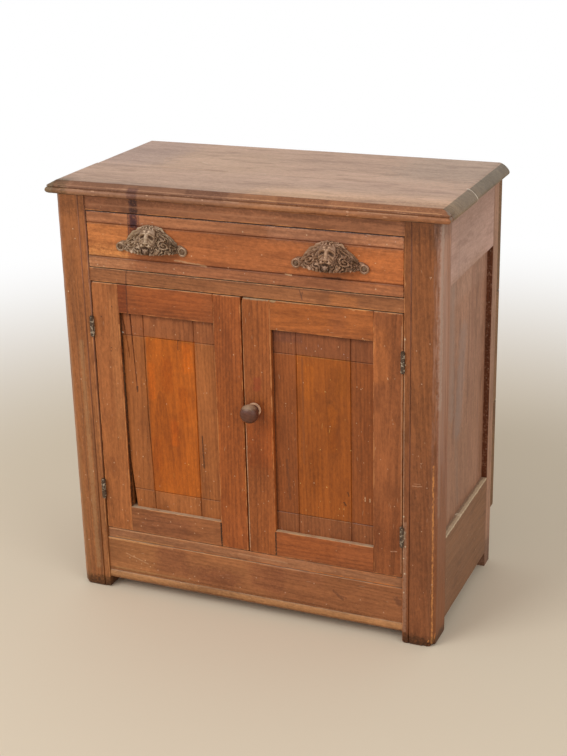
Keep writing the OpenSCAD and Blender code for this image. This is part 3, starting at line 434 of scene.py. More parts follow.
# How much a post, a door or the drawer front is shaved beside its neighbour
SHAVED = 0.2 * MM
POST_TONES = {"left": ((150, 95, 59), (152, 98, 61)), "right": ((136, 85, 54), (129, 80, 54))}
# Tones of the posts' sides above and below: faded wood under a pale painted sheen above and a painted shade
# below
POST_FLANK_FADE_AND_LIGHT = ((199, 155, 136), (139, 84, 44))
POST_BITES = {
    "left": [(-337, -168, 1, 9), (-285, -168, -1, 7), (-336, -100, 0, 6), (-334, -150, 640, 3)],
    "right": [(326, -168, 3, 8), (318, -170, -2, 9), (336, -158, -1, 9), (290, -169, -2, 7),
              (338, -158, 66, 4), (337, -160, 190, 3.4), (330, -168, 260, 3), (337, -162, 402, 3)],
}
POST_MARKS = {
    "left": [
        stroke((-327, -165, -20), (-326, -165, 690), 7, (166, 114, 76), 0.2),
        stroke((-312, -165, -20), (-312, -165, 700), 6, (132, 84, 54), 0.25),
        stroke((-301, 40), (-303, 470), 6, (166, 126, 86), 0.5),
        stroke((-322, 20), (-324, 280), 7, (142, 98, 60), 0.45),
        stroke((-310, 90), (-311, 520), 1.2, (98, 62, 40), 0.5),
        stroke((-330, 180), (-331, 430), 1.4, (102, 64, 40), 0.45),
        stroke((-300, 300), (-301.5, 600), 1.0, (96, 60, 40), 0.5),
        stroke((-326, 380), (-327, 560), 3, (156, 112, 72), 0.4),
        stroke((-294, 30), (-294, 330), 2.4, (108, 72, 48), 0.4),
        # Painted shade at the foot, by the floor
        zone((-345, -5), (-270, 14), 12, (84, 56, 36), 0.75),
        zone((-292, -5), (-276, 160), 10, (142, 92, 58), 0.6),
        *dots((206, 172, 140), 1.5, (-303, 671), (-300, 655), (-321, 560), (-309, 402), (-330, 330),
              (-298, 228), (-318, 90)),
    ],
    "right": [
        stroke((295, 292.8), (311, 294), 1.1, (190, 142, 110), 0.65),
        stroke((298, 297), (309, 297.5), 0.9, (184, 134, 102), 0.5),
        zone((324, -170, 690), (335, -160, 735), 9, (116, 76, 52), 0.6),
        # Painted highlight, pale and pinkish, down the upper chamfer and side
        stroke((336, -150, 430), (336, -149, 738), 11, (190, 164, 150), 0.5),
        stroke((336, -150, 240), (336, -150, 430), 7, (172, 138, 118), 0.4),
        stroke((336, -134, 560), (336, -134, 735), 0.9, (136, 100, 84), 0.5),
        stroke((336, -136, 330), (336, -132, 640), 9, (150, 116, 102), 0.35),
        stroke((280.6, 165), (280.6, 545), 1.1, (172, 136, 108), 0.6),
        stroke((334, -158, 300), (336, -157, 640), 2, (122, 66, 40), 0.5),
        stroke((283, 24), (283, 224), 4.2, (172, 130, 104), 0.5),
        stroke((280, 194), (282, 208), 2.6, (206, 184, 156), 0.75),
        # Painted shade at the foot, by the floor
        zone((286, -5), (345, 12), 10, (84, 58, 38), 0.65),
        stroke((322, -165, 3), (326, -165, 14), 1.8, (206, 134, 70), 0.9),
        stroke((333, -160, 5), (335, -156, 24), 1.8, (206, 134, 70), 0.8),
        *dots((214, 190, 160), 2.0, (281, 236), (282, 196), (281, 541), (282, 499), (284, 182), (281, 160),
              (283, 132), (282, 96)),
        *dots((196, 156, 126), 1.4, (322, 645), (322, 538), (300, 524), (309, 470), (297, 150), (329, 118),
              (312, 214)),
    ],
}
for hand, side in (("left", -1), ("right", 1)):
    node = "front_post_" + hand
    low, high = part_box(node)
    inner, outer = sorted((abs(low.x), abs(high.x)))
    line = inner + LINE_IN
    corners = [[inner + SHAVED, low.y], [line - LINE_WIDE / 2, low.y], [line, low.y + LINE_WIDE],
               [line + LINE_WIDE / 2, low.y], [outer - CHAMFER, low.y], [outer, low.y + CHAMFER],
               [outer, high.y], [inner + SHAVED, high.y]]
    # The outlines lie close together at the foot, which narrows a little in its last millimetres
    z = np.unique(np.concatenate([np.linspace(0, 30 * MM, 21), np.arange(35, 729, 9) * MM, [high.z]]))
    at = np.stack([z * 0 + side, z], 1)
    uneven = np.stack([wander(at, 0.05, k) for k in range(len(corners))], 1)
    radii = np.array([1.1, 0.3, 0.25, 0.3, 2.0, 2.4, 0.5, 0.4]) * MM * (1 + 0.45 * uneven)
    ring = filled(eased(corners, radii), 5 * MM)
    middle = np.array([(inner + outer) / 2, (low.y + high.y) / 2])
    worn = 0.028 * FOOT_BEVEL / MM * (1 - z / (2.2 * FOOT_BEVEL)).clip(0) ** 2
    ring = middle + (ring - middle) * (1 - worn)[:, None, None]
    ring[..., 0] *= side
    ring = np.concatenate([ring, np.broadcast_to(z[:, None, None], ring.shape[:2] + (1,))], -1)[:, ::side]
    ring = bitten(ring, POST_BITES[hand])
    tone, low_tone = POST_TONES[hand]
    edge_x = side * outer / MM
    marks = [
        zone((-340, -10), (340, 300), 130, low_tone, 0.7),
        # Painted shadow under the top's overhang, at the head of each post
        zone((-340, 712), (340, 740), 26, (92, 58, 40), 0.55),
        # Painted shade at the foot of each post, by the floor
        zone((-340, -20), (340, 6), 22, (84, 52, 34), 0.6),
        stroke((edge_x - side * 10, -165.5, -20), (edge_x - side * 10, -165.5, 760), 4, (164, 106, 70), 0.2),
        stroke((edge_x - side * 4, -161.5, -20), (edge_x - side * 5, -162.5, 330), 2.8, (206, 136, 76), 1.0),
        stroke((edge_x - side * 5, -162.5, 330), (edge_x - side * 6, -163.5, 560), 1.6, (186, 116, 66), 0.5),
    ]
    finish = pine("post_pine_" + hand, low, high, tone, "zx", seed=10 + side, marks=marks + POST_MARKS[hand],
                  streaks=1.7, wear=1.3, specks=0.3, flank_fade_and_light=POST_FLANK_FADE_AND_LIGHT)
    # Grime in the scratched line, less of it towards the foot
    sunk = ((ring[..., 1] - low.y) / (0.8 * LINE_WIDE)).clip(0, 1)
    sunk *= np.abs(np.abs(ring[..., 0]) - line) < LINE_WIDE / 2 + 0.1 * MM
    sunk *= ring[..., 1] < low.y + LINE_WIDE
    sunk *= (0.4 + 0.25 * uneven[:, :1]) * (z[:, None] / 0.2).clip(0.25, 1)
    piece("post_" + hand, ring, swept(ring), finish, "post_wood", node, hollow=sunk)

# Rails of the front
# Flat-laid rails under the top and under the drawer, an apron below the doors and a half-round bead
# along its foot, all of pine, tenoned into the posts. The drip stain runs over the top rail.

NEAR = np.array([0, 0.4, 0.9, 1.7, 3.2, 6.5]) * MM


def box_grid(low, high, step, extra):
    """The six faces of a box as grids that share their edges. The lines of the grids lie close by the
    box's edges and at the extra places (axis, mm), and are at most step apart elsewhere."""
    ticks = []
    for k in range(3):
        size = high[k] - low[k]
        near = NEAR[NEAR < size * 0.45]
        wanted = [at * MM - low[k] for axis, at in extra if axis == "xyz"[k]]
        must = np.concatenate([near, size - near, wanted])
        even = np.linspace(0, size, int(size / step) + 2)
        even = even[np.abs(even[:, None] - must).min(1) > 0.6 * MM]
        tick = np.unique(np.round(np.concatenate([must, even]), 7))
        ticks.append(low[k] + tick[(tick >= 0) & (tick <= round(size, 7))])
    points, faces, count = [], [], 0
    for k in range(3):
        u, v = np.meshgrid(ticks[(k + 1) % 3], ticks[(k + 2) % 3], indexing="ij")
        for plane in (0, 1):
            grid = np.empty(u.shape + (3,))
            grid[..., k], grid[..., (k + 1) % 3], grid[..., (k + 2) % 3] = (low, high)[plane][k], u, v
            quads = weave(*u.shape) + count
            faces.append(quads[:, ::-1] if plane else quads)
            points.append(grid.reshape(-1, 3))
            count += u.size
    return np.concatenate(points), faces


# Where the grid is cut across a scratched line, and how deep its V is, in half widths of the line
GROOVE_TICKS, GROOVE_DEEP = (-1.9, -1, -0.5, 0, 0.5, 1, 1.9), 1.15


def board(node, tone, low=None, high=None, slot="front_wood", grain="xz", ease=1.0, step=14, lines=(),
          extra=(), soft=(), bites=(), warp=None, sag=0.15, seed=0, keep_ends=True, **look):
    """One planed board: each point of a sharp box goes to inner + r * direction, where inner is the
    nearest point of the box shrunk by r and direction points from it to the sharp point. r wanders
    along the arrises, dies away at the jointed ends and grows by a spot's amount near it. Scratched
    lines (axis, place, half width, darkness) sink V-shaped into the front face, and faces sag a little."""
    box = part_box(node)
    low = np.array([b if a is None else a for a, b in zip(low or (None,) * 3, box[0])], float)
    high = np.array([b if a is None else a for a, b in zip(high or (None,) * 3, box[1])], float)
    grooves = [(axis, at + k * wide) for axis, at, wide, dark in lines for k in GROOVE_TICKS]
    sharp, faces = box_grid(low, high, step * MM, list(extra) + grooves)
    r = ease * MM * (1 + 0.5 * wander(sharp, 0.045, seed + 3) + 0.2 * wander(sharp, 0.012, seed + 4))
    along = "xyz".index(grain[0])
    if keep_ends:
        end = np.minimum(sharp[:, along] - low[along], high[along] - sharp[:, along])
        r = np.minimum(r, 0.25 * MM + end * 0.25)
    for x, y, z, reach, more in soft:
        far = np.linalg.norm(sharp - np.array((x, y, z)) * MM, axis=1)
        r += more * MM * np.exp(-((far / (reach * MM)) ** 2))
    r = np.clip(r, 0.08 * MM, (high - low).min() * 0.45)[:, None]
    inner = np.clip(sharp, low + r, high - r)
    away = (sharp - inner) / np.linalg.norm(sharp - inner, axis=1, keepdims=True)
    points = inner + r * away
    points -= away * (sag * MM * (0.5 + 0.5 * wander(sharp, 0.11, seed + 5)))[:, None]
    front = away[:, 1] < -0.9
    hollow = np.zeros(len(sharp))
    for axis, at, wide, dark in lines:
        off = np.abs(sharp[:, "xyz".index(axis)] - at * MM) / (wide * MM)
        points[front, 1] += (GROOVE_DEEP * wide * MM * (1 - off).clip(0))[front]
        dark = dark * (0.75 + 0.35 * wander(sharp, 0.07, seed + 6)).clip(0.2, 1)
        hollow[front] = np.maximum(hollow, (1.25 * (1 - off)).clip(0, 1) * dark)[front]
    if warp:
        warp(points, sharp, hollow)
    points = bitten(points, bites)
    look = {"seed": seed, "wear": 1.2, **look}
    finish = pine(node + "_pine", low, high, tone, grain, **look)
    return piece(node + "_board", points, faces, finish, slot, node, hollow=hollow)


left_post, right_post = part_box("front_post_left"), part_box("front_post_right")
between = {"low": (left_post[1].x, None, None), "high": (right_post[0].x, None, None)}
DRIP = (74, 44, 40)
board("front_top_rail", (148, 98, 70), **between, seed=21, ease=0.6, streaks=1.5, specks=0.3, marks=[
    # Painted shadow under the top's overhang, along the rail's upper edge
    zone((-300, 724), (300, 740), 8, (88, 54, 38), 0.5),
    zone((-193, 700), (-183, 740), 5, (98, 62, 50), 0.95),
    zone((-191, 706), (-185, 730), 6, (90, 58, 52), 0.6),
    stroke((-194, 736), (-193, 704), 1.4, (84, 50, 44), 0.6),
    zone((-268, 700), (-240, 738), 14, (138, 88, 62), 0.5),
    stroke((-150, 731), (-120, 731), 1.2, (182, 132, 100), 0.5),
    stroke((30, 708), (86, 708), 1.0, (176, 124, 92), 0.45),
    zone((-205, 704), (-176, 710), 8, (120, 80, 60), 0.6),
    stroke((-270, 715), (60, 716), 2.2, (168, 116, 84), 0.35)])
board("mid_rail", (152, 99, 66), **between, seed=22, ease=0.9, streaks=1.5, marks=[
    stroke((104, 602), (108, 588), 1.6, (84, 54, 44), 0.65),
    stroke((109, 600), (107, 592), 1.3, (84, 54, 44), 0.6),
    stroke((-208, 606), (-210, 583), 1.8, (86, 50, 36), 0.7),
    stroke((-270, 604), (270, 604), 2.2, (92, 56, 38), 0.5),
    zone((160, 588), (196, 597), 10, (182, 112, 62), 0.4)])
SCUFF = (200, 156, 120)
board("apron_rail", (162, 106, 69), **between, seed=23, ease=0.5, streaks=1.2, specks=0.7, marks=[
    *dots(SCUFF, 1.7, (-237, 66), (-228, 71), (-214, 58), (-206, 66), (-196, 55), (-188, 63), (-181, 51),
          (-150, 49), (-118, 46), (-108, 52), (-101, 44), (-52, 60), (-20, 47), (12, 72), (66, 53),
          (120, 81), (204, 66), (246, 50)),
    stroke((-276, 99), (-150, 99), 1.8, (200, 144, 96), 0.7),
    stroke((20, 99.5), (120, 99.5), 1.4, (190, 140, 100), 0.5),
    stroke((-268, 42), (-120, 42), 2.6, (176, 128, 82), 0.5),
    stroke((-244, 74), (-200, 60), 1.1, SCUFF, 0.5),
    zone((-270, 46), (-200, 90), 26, (170, 114, 72), 0.6),
    zone((-170, 60), (-130, 92), 20, (138, 86, 60), 0.6),
    zone((-90, 44), (-40, 64), 20, (142, 88, 60), 0.5),
    zone((10, 60), (50, 90), 22, (136, 82, 58), 0.5),
    zone((60, 30), (290, 110), 60, (153, 98, 65), 0.9),
    stroke((156, 74), (172, 60), 3.4, (88, 50, 34), 0.5),
    stroke((163, 68), (178, 64), 2.6, (84, 48, 34), 0.45),
    stroke((268, 80), (273, 72), 7, (84, 48, 34), 0.5),
    zone((-279, 36), (279, 40), 4, (98, 60, 40), 0.4),
    zone((-120, 56), (-20, 66), 18, (128, 80, 56), 0.5),
    zone((60, 84), (130, 96), 12, (164, 106, 72), 0.5)])

WAVY = 0.35 * MM
low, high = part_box("apron_bead")
radius = (high.z - low.z) / 2
swing = np.radians(np.linspace(-90, 90, 13))
arc = np.stack([low.y + radius / 2 * (1 - np.cos(swing)), low.z + radius * (1 + np.sin(swing))], 1)
outline = np.concatenate([arc, [[high.y, high.z], [high.y, low.z]]])
x = np.linspace(low.x, high.x, 70)
outline = filled(outline[None], 4 * MM)[0]
ring = np.empty((len(x), len(outline), 3))
ring[..., 0], ring[..., 1:] = x[:, None], outline
ring[..., 1] += WAVY * (1 + wander(ring, 0.06, 2)) * (ring[..., 1] < low.y + radius / 2)
ring = bitten(ring, [(-206, -167.5, 22, 4.2), (-30, -168, 20, 4.5), (92, -168, 19, 4), (181, -167, 34, 3.2),
                     (240, -168, 21, 4)])
finish = pine("apron_bead_pine", low, high, (169, 121, 81), seed=24, streaks=1.6, specks=0.55, wear=1.0,
              marks=[stroke((-279, 36.5), (279, 36.5), 1.4, (84, 52, 34), 0.5),
                     zone((-279, 16), (279, 23), 4, (120, 76, 48), 0.5)])
piece("apron_bead_length", ring, swept(ring[:, ::-1]), finish, "front_wood", "apron_bead")

# Cupboard floor
# Two pine boards notched round the posts. The front one's edge shows under the doors as a sill, worn
# round by hands and brooms, and pale from that wear and from a painted highlight along its edges.


def notched(y_from, y_to, width):
    """Warp that draws the part of a board between y_from and y_to in to a half width."""
    def warp(points, sharp, hollow):
        within = (sharp[:, 1] > y_from) & (sharp[:, 1] < y_to)
        points[:, 0] *= np.where(within, width / np.abs(sharp[:, 0]).max(), 1)
    return warp


rear_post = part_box("rear_post_right")
notch = [("y", right_post[1].y / MM), ("y", right_post[1].y / MM + 0.1)]
board("floor_front_board", (161, 110, 78), seed=31, grain="xy", face="xy", ease=1.7, extra=notch,
      warp=notched(-1, right_post[1].y + 0.05 * MM, right_post[0].x), specks=0.5, dust=0.35, wear=2.4,
      bare=(190, 118, 68), keep_ends=False, marks=[
          stroke((110, -160.5, 101), (262, -160.5, 101), 4, (200, 124, 66), 0.8),
          # Painted highlight, over wear, along the sill's upper arris and its lower edge
          stroke((-276, -160, 118), (-60, -160, 119), 1.6, (196, 148, 108), 0.6),
          stroke((-262, -160.5, 104), (-150, -160.5, 103), 2.4, (190, 134, 84), 0.6),
          stroke((-20, -160.5, 112), (70, -160.5, 110), 2.0, (188, 140, 104), 0.5),
          stroke((-279, -160, 101), (110, -160, 101), 2.0, (104, 64, 42), 0.35),
          zone((-300, -140), (300, 200), 12, (150, 108, 74), 0.6)])
notch = [("y", rear_post[0].y / MM), ("y", rear_post[0].y / MM - 0.1)]
board("floor_back_board", (150, 108, 74), seed=32, slot="raw_pine", grain="xy", face="xy", ease=0.8,
      extra=notch, warp=notched(rear_post[0].y - 0.05 * MM, 1, rear_post[0].x), dust=0.35)

# Sides
# Each side is an upper and a lower rail with a thin panel in grooves between the posts. The upper
# part is grey and hazy, partly from weathering and partly a painted sheen; dust lies on the ledge of
# the lower rail.

REAR_POST_SPECKS = (
    (652, 1), (640, -3), (604, 0), (566, -2), (545, 2), (512, -1), (497, 2), (470, 0), (452, -3), (390, 1),
    (372, -2), (352, 2), (301, 0), (280, -2), (236, 1))
for side, hand in ((-1, "left"), (1, "right")):
    reach = {"low": (None, right_post[1].y, None), "high": (None, rear_post[0].y, None)}
    rail = {"slot": "side_wood", "grain": "yz", "face": "yz", **reach}
    ledge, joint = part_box("side_bottom_rail_" + hand)[1].z / MM, right_post[1].y / MM + 0.5
    # The upper rail's pale, hazy tone includes a painted sheen
    board("side_top_rail_" + hand, (190, 154, 142), **rail, seed=41 + side, ease=0.5, streaks=0.8, clouds=0.8,
          figure=0.02, specks=0.15, wear=0.6, bare=(176, 136, 112), marks=[
              zone((-200, 700), (200, 740), 30, (166, 130, 116), 0.5),
              zone((-60, 620), (60, 690), 50, (178, 146, 134), 0.5),
              zone((-160, 580), (90, 612), 26, (170, 132, 114), 0.7),
              stroke((-120, 690), (-116, 600), 8, (150, 116, 104), 0.3),
              stroke((-60, 720), (-58, 612), 5, (152, 122, 112), 0.3),
              stroke((joint, 600), (joint, 740), 1.3, (112, 76, 64), 0.9)])
    board("side_bottom_rail_" + hand, (131, 91, 64), **rail, seed=44 + side, ease=0.9, streaks=0.85,
          clouds=1.1, figure=0.08, specks=0.4, wear=1.0, bare=(166, 124, 92), dust=1.0, marks=[
              stroke((-112, ledge), (144, ledge), 4.2, (206, 182, 150), 0.9),
              stroke((side * 326.5, -120, ledge), (side * 326.5, 150, ledge), 4.2, (126, 90, 68), 0.75),
              stroke((joint, 20), (joint, ledge - 4), 0.9, (84, 54, 40), 0.6),
              zone((-120, 60), (40, 150), 40, (138, 98, 72), 0.5)]
          + dots((226, 206, 178), 2.8, (-19, ledge - 1), (-14, ledge))
          + dots((196, 164, 132), 1.6, (-96, 96), (30, 120), (84, 66)))
    board("side_panel_" + hand, (163, 121, 100), seed=47 + side, slot="side_wood", grain="zy", face="yz",
          ease=0.3, streaks=1.6, clouds=1.5, figure=0.05, specks=0.25, wear=0.2, marks=[
              zone((-200, 180), (200, 330), 120, (152, 111, 88), 0.7),
              zone((-120, 575), (150, 640), 22, (176, 138, 120), 0.6),
              stroke((-60, 600), (-56, 380), 24, (152, 130, 120), 0.5),
              stroke((10, 500), (-14, 340), 30, (146, 126, 120), 0.5),
              stroke((-96, 610), (-92, 400), 10, (154, 132, 122), 0.45),
              stroke((-36, 600), (-38, 300), 4, (124, 84, 66), 0.4),
              stroke((44, 560), (40, 330), 4, (120, 80, 62), 0.45),
              stroke((86, 600), (84, 260), 3, (122, 82, 64), 0.4),
              stroke((10, 330), (8, 190), 3, (112, 74, 54), 0.4),
              stroke((-92, 420), (-92, 200), 5, (128, 86, 64), 0.4),
              stroke((110, 560), (110, 200), 7, (158, 116, 98), 0.35),
              stroke((-24, 330), (-6, 200), 12, (140, 114, 100), 0.3),
              stroke((62, 640), (66, 240), 12, (152, 104, 84), 0.4),
              stroke((14, 470), (8, 400), 1.6, (104, 74, 66), 0.6),
              stroke((-70, 620), (-64, 210), 14, (158, 114, 94), 0.4)])
    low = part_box("rear_post_" + hand)[0]
    specks = [(side * (331 + along), low.y / MM, at) for at, along in REAR_POST_SPECKS]
    board("rear_post_" + hand, (164, 124, 103), seed=50 + side, slot="post_wood", grain="zy", face="yz",
          ease=0.9, streaks=1.5, clouds=1.0, specks=0.25, wear=0.9, bare=(170, 128, 104), marks=[
              zone((151.6, 100), (200, 340), 120, (157, 114, 90), 0.6),
              zone((140, -20), (200, 40), 25, (92, 60, 42), 0.6),
              # Painted shade on the rear post's face inside the side's recess
              zone((140, 100), (148.9, 740), 0.6, (92, 52, 32), 0.95)]
          + dots((158, 128, 110), 1.5, *specks))

# Back
# Three rough boards nailed across the rear posts, never stained. Dirt has gathered in the joints
# between them, and each end is held by three cut nails.

BACK_TONES = {"lower": (124, 93, 66), "middle": (136, 104, 76), "upper": (128, 98, 72)}
NAIL_IN, NAIL_UP = 14, 25
for i, (which, tone) in enumerate(BACK_TONES.items()):
    low, high = (np.array(corner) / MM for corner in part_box("back_board_" + which))
    nails = [(x, z) for x in (low[0] + NAIL_IN, high[0] - NAIL_IN)
             for z in np.linspace(low[2] + NAIL_UP, high[2] - NAIL_UP, 3)]
    board("back_board_" + which, tone, seed=61 + i, slot="raw_pine", ease=0.9, step=24, streaks=1.8,
          clouds=1.6, figure=0.5, specks=0.3, wear=0.8, bare=(150, 118, 88), rough=0.62, keep_ends=False,
          behind=True,
          marks=[stroke((low[0], z), (high[0], z), 2.6, (52, 38, 28), 0.85) for z in (low[2], high[2])]
          + [stroke((x + 1, z - 2), (x, z - 26), 3.0, (84, 58, 42), 0.4) for x, z in nails]
          + dots((58, 48, 42), 4.0, *nails))

# What lies inside
# Runners, guides, kickers, stops, cleats, corner blocks and the drawer's own box are sawn pine, bare
# but for age; their shapes are the part's own.

RAW = {
    "rear_top_rail": "xz", "drawer_runner_left": "yx", "drawer_runner_right": "yx",
    "drawer_guide_left": "yz", "drawer_guide_right": "yz", "drawer_kicker_left": "yx",
    "drawer_kicker_right": "yx", "drawer_stops": "xz", "floor_cleats": "yz", "glue_blocks": "xz",
    "door_stop": "xz", "drawer_side_left": "yz", "drawer_side_right": "yz", "drawer_back": "xz",
    "drawer_bottom": "xy",
}


def dress(node, finish):
    """Gives a piece that keeps the part's own shape its finish."""
    materials = frame["nodes"][node].data.materials
    materials.clear()
    materials.append(finish)


for i, (node, grain) in enumerate(RAW.items()):
    dress(node, pine(node + "_pine", *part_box(node), (186, 142, 96), grain, seed=70 + i, streaks=1.0,
                     clouds=1.0, figure=0.6, specks=0.1, wear=0.5, bare=(204, 166, 122), rough=0.6,
                     dust=0.25, dirt=(150, 108, 70)))

# Top
# Two boards glued edge to edge, moulded along the front and both ends: a slope, a fillet, a quirk and
# a bead. The surface is dusty and sun-bleached, and its pale haze is partly a painted sheen; the glue
# joint has opened at the right-hand end.

EDGE_WIDE, EDGE_FALL, BEAD_R, STEP_IN, FILLET = 16 * MM, 7.5 * MM, 5.5 * MM, 13.25 * MM, 1.5 * MM
front_low, front_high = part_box("top_front_board")
back_low, back_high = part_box("top_back_board")
thick = front_high.z - front_low.z
half = front_high.x - EDGE_WIDE
arris_y = front_low.y + EDGE_WIDE
turn = np.radians(np.linspace(74, -90, 15))
bead = np.stack([EDGE_WIDE - BEAD_R + BEAD_R * np.cos(turn), BEAD_R + BEAD_R * np.sin(turn)], 1)
knee = thick - EDGE_FALL
# How far in from the arris the edge is rounded, and how far the glue joint has opened at its right end
ROUND_IN, SEAM_OPEN = 1.6 * MM, 1.7 * MM
slope = np.array([
    [-ROUND_IN, thick], [-0.7 * MM, thick - 0.05 * MM], [0.2 * MM, thick - 0.28 * MM],
    [1.3 * MM, thick - 0.8 * MM], [STEP_IN * 0.4, thick - EDGE_FALL * 0.41],
    [STEP_IN * 0.72, thick - EDGE_FALL * 0.73], [STEP_IN - 1.2 * MM, knee + 0.62 * MM],
    [STEP_IN - 0.4 * MM, knee + 0.05 * MM], [STEP_IN, knee - 0.5 * MM], [STEP_IN, knee - FILLET + 0.2 * MM],
    [STEP_IN - 0.3 * MM, knee - FILLET], [STEP_IN - 1.2 * MM, knee - FILLET - 0.1 * MM]])
section = np.concatenate([slope, bead])
MOULDING_SCUFFS = (
    (-322, 44, 13.6, 0.4), (-262, 5, 14, 0.6), (-236, 40, 10, 0.35), (-160, 3, 14, 0.7),
    (-128, 52, 13.4, 0.3), (-60, 2, 14.2, 0.7), (-22, 26, 13.6, 0.4), (18, 3, 10, 0.6), (44, 66, 13.8, 0.3),
    (158, 4, 10.2, 0.6), (186, 3, 14.2, 0.7), (204, 96, 13.5, 0.45), (262, 8, 10, 0.6))


def top_marks(edge_y):
    """Marks of both boards: a grey flat, the redder moulding in front, whose scuffs are (x, length, how
    far out from the arris at edge_y, strength), and the ends."""
    side, seam = half / MM, front_high.y / MM
    return [
        *dots((222, 200, 176), 1.6, (-84, -10), (-16, -13), (25, 0), (-240, 118), (60, 96), (196, 52),
              (-290, 30), (130, -96)),
        zone((-400, edge_y), (400, edge_y + 14), 22, (166, 134, 112), 0.7),
        zone((230, 60), (400, 300), 90, (172, 148, 130), 0.7),
        zone((-200, 20), (-60, 90), 90, (196, 162, 136), 0.7),
        zone((-340, 20), (-250, 160), 60, (176, 148, 136), 0.7),
        area((-side, edge_y - 40), (400, edge_y + 0.4), 1.0, (153, 109, 83), 1.0),
        area((-side, edge_y - 40), (-200, edge_y - 1), 40, (206, 176, 156), 0.35),
        zone((170, edge_y - 40), (400, edge_y - 1), 60, (166, 130, 110), 0.8),
        stroke((-side, edge_y + 0.4), (side, edge_y + 0.4), 1.0, (116, 80, 60), 0.6),
        stroke((-side, edge_y - 9.6), (side, edge_y - 10.4), 1.1, (198, 150, 116), 0.45),
        area((60, edge_y - 40), (400, edge_y - 11.8), 100, (224, 180, 142), 0.9),
        stroke((-side, edge_y - 12.6), (400, edge_y - 12.6), 0.9, (96, 56, 36), 0.7),
        *(stroke((at, edge_y - far), (at + long, edge_y - far - 0.3), 0.9, (206, 160, 126), share)
          for at, long, far, share in MOULDING_SCUFFS),
        zone((-300, edge_y - 9), (-210, edge_y - 1), 7, (160, 122, 98), 0.6),
        zone((-90, edge_y - 8), (-20, edge_y - 2), 6, (124, 82, 62), 0.5),
        zone((70, edge_y - 9), (150, edge_y - 2), 7, (126, 84, 62), 0.45),
        stroke((side + 6, edge_y - 17, 738), (side + 10, edge_y - 16, 738), 2.0, (204, 118, 62), 0.7),
        zone((-193, edge_y - 40), (-181, edge_y - 9), 6, (144, 110, 104), 0.9),
        area((side + 0.4, edge_y - 1), (400, 400), 1.2, (136, 117, 96), 1.0),
        stroke((side + 7, edge_y - 1), (side + 16, edge_y - 10), 4, (130, 110, 90), 0.8),
        area((-400, -400), (-side - 0.4, 400), 1.2, (150, 118, 94), 0.9),
        stroke((side - 2, seam - 0.6), (side + 9, seam - 1.4), 2.6, (228, 216, 198), 1.0),
        stroke((side + 9, seam - 1.4), (side + 18, seam - 3), 2.6, (222, 208, 188), 1.0),
        stroke((-192, 62), (-180, 58), 1.2, (214, 186, 160), 0.7),
        stroke((-160, 44), (-144, 33), 1.3, (220, 196, 170), 0.7),
        zone((-360, edge_y - 20), (-318, edge_y + 4), 14, (138, 116, 90), 0.85),
        stroke((-340, 38), (-327, 44), 3.4, (110, 78, 66), 0.6),
        stroke((318, 24), (330, 27), 2.6, (112, 88, 74), 0.6),
    ]


def top_dressing(points, seed):
    """Lets the flat sag and rise by up to 0.25 mm, downwards only."""
    sink = 0.25 * MM * (0.5 + 0.5 * wander(points[..., :2], 0.13, seed))
    points[..., 2] -= sink * (points[..., 2] > front_low.z + thick / 2)
    return points


# The front board is a grid: cols go from the glue joint over the flat, down the moulding and back under
# the board, as (distance out from the arris, height); rows go round from the left end to the right one.
flat_in = np.append(np.arange(front_high.y - arris_y, 4 * MM, -9 * MM), 3.4 * MM)
under = np.stack([np.linspace(EDGE_WIDE - BEAD_R - 4 * MM, -flat_in[0], 6), np.zeros(6)], 1)
cols = np.concatenate([np.stack([-flat_in, flat_in * 0 + thick], 1), section, under])
offset, level = cols.T
run = np.concatenate([np.linspace(0, 0.9, 22), [0.93, 0.96, 0.98, 0.99, 0.996, 1]])
near_end = np.array([0, 0.0015, 0.004, 0.008, 0.014])
front = np.unique(np.concatenate([np.linspace(-0.98, 0.98, 66), near_end - 1, 1 - near_end]))
seam_y, front_y = front_high.y, arris_y - offset
wide = half + offset
end_y = seam_y + run[:, None] * (front_y - seam_y)
plan = np.concatenate([np.stack(np.broadcast_arrays(x, y), -1) for x, y in
                       ((-wide, end_y), (front[1:-1, None] * wide, front_y), (wide, end_y[::-1]))])
round_r = np.clip((offset + 4 * MM) * 0.22, 0.05 * MM, 3.5 * MM)[:, None]
lowest = np.stack([-wide, front_y], 1) + round_r
highest = np.stack([wide, front_y + 10], 1) - round_r
inner = np.clip(plan, lowest, highest)
away = plan - inner
far = np.linalg.norm(away, axis=-1, keepdims=True)
corner = (np.abs(away[..., :1]) > 1e-9) & (np.abs(away[..., 1:]) > 1e-9)
plan = np.where(corner, inner + away * round_r / np.maximum(far, 1e-12), plan)
grid = np.concatenate([plan, np.broadcast_to(level[:, None] + front_low.z, plan.shape[:2] + (1,))], -1)

# The right end's moulding has worn to one round: from the arris (a = 0) to the middle of the bead
# (a = 90 degrees) it goes out with sin(a)^1.35 and down with cos(a)^1.35.
a = np.linspace(0, np.pi / 2, len(slope) + 7)
worn_out = (EDGE_WIDE + ROUND_IN) * np.sin(a) ** 1.35 - ROUND_IN
worn = np.stack([worn_out, BEAD_R + (thick - BEAD_R) * np.cos(a) ** 1.35], 1) - section[:len(a)]
shift = np.zeros((len(cols), 2))
shift[len(flat_in):len(flat_in) + len(a)] = worn
share = np.clip((grid[-len(run):, :, 1:2] - arris_y - 4 * MM) / (24 * MM), 0, 1)
grid[-len(run):, :, ::2] += share * shift
opening = SEAM_OPEN * np.clip((grid[..., 0] - half + 8 * MM) / (18 * MM), 0, 1) ** 2
grid[..., 1] -= opening * (grid[..., 1] > seam_y - 0.5 * MM)
grid = top_dressing(grid, 5)
grid[..., 1] += WAVY * (1 + wander(grid, 0.05, 8)) * (offset > STEP_IN * 0.9) * (grid[..., 1] < arris_y)
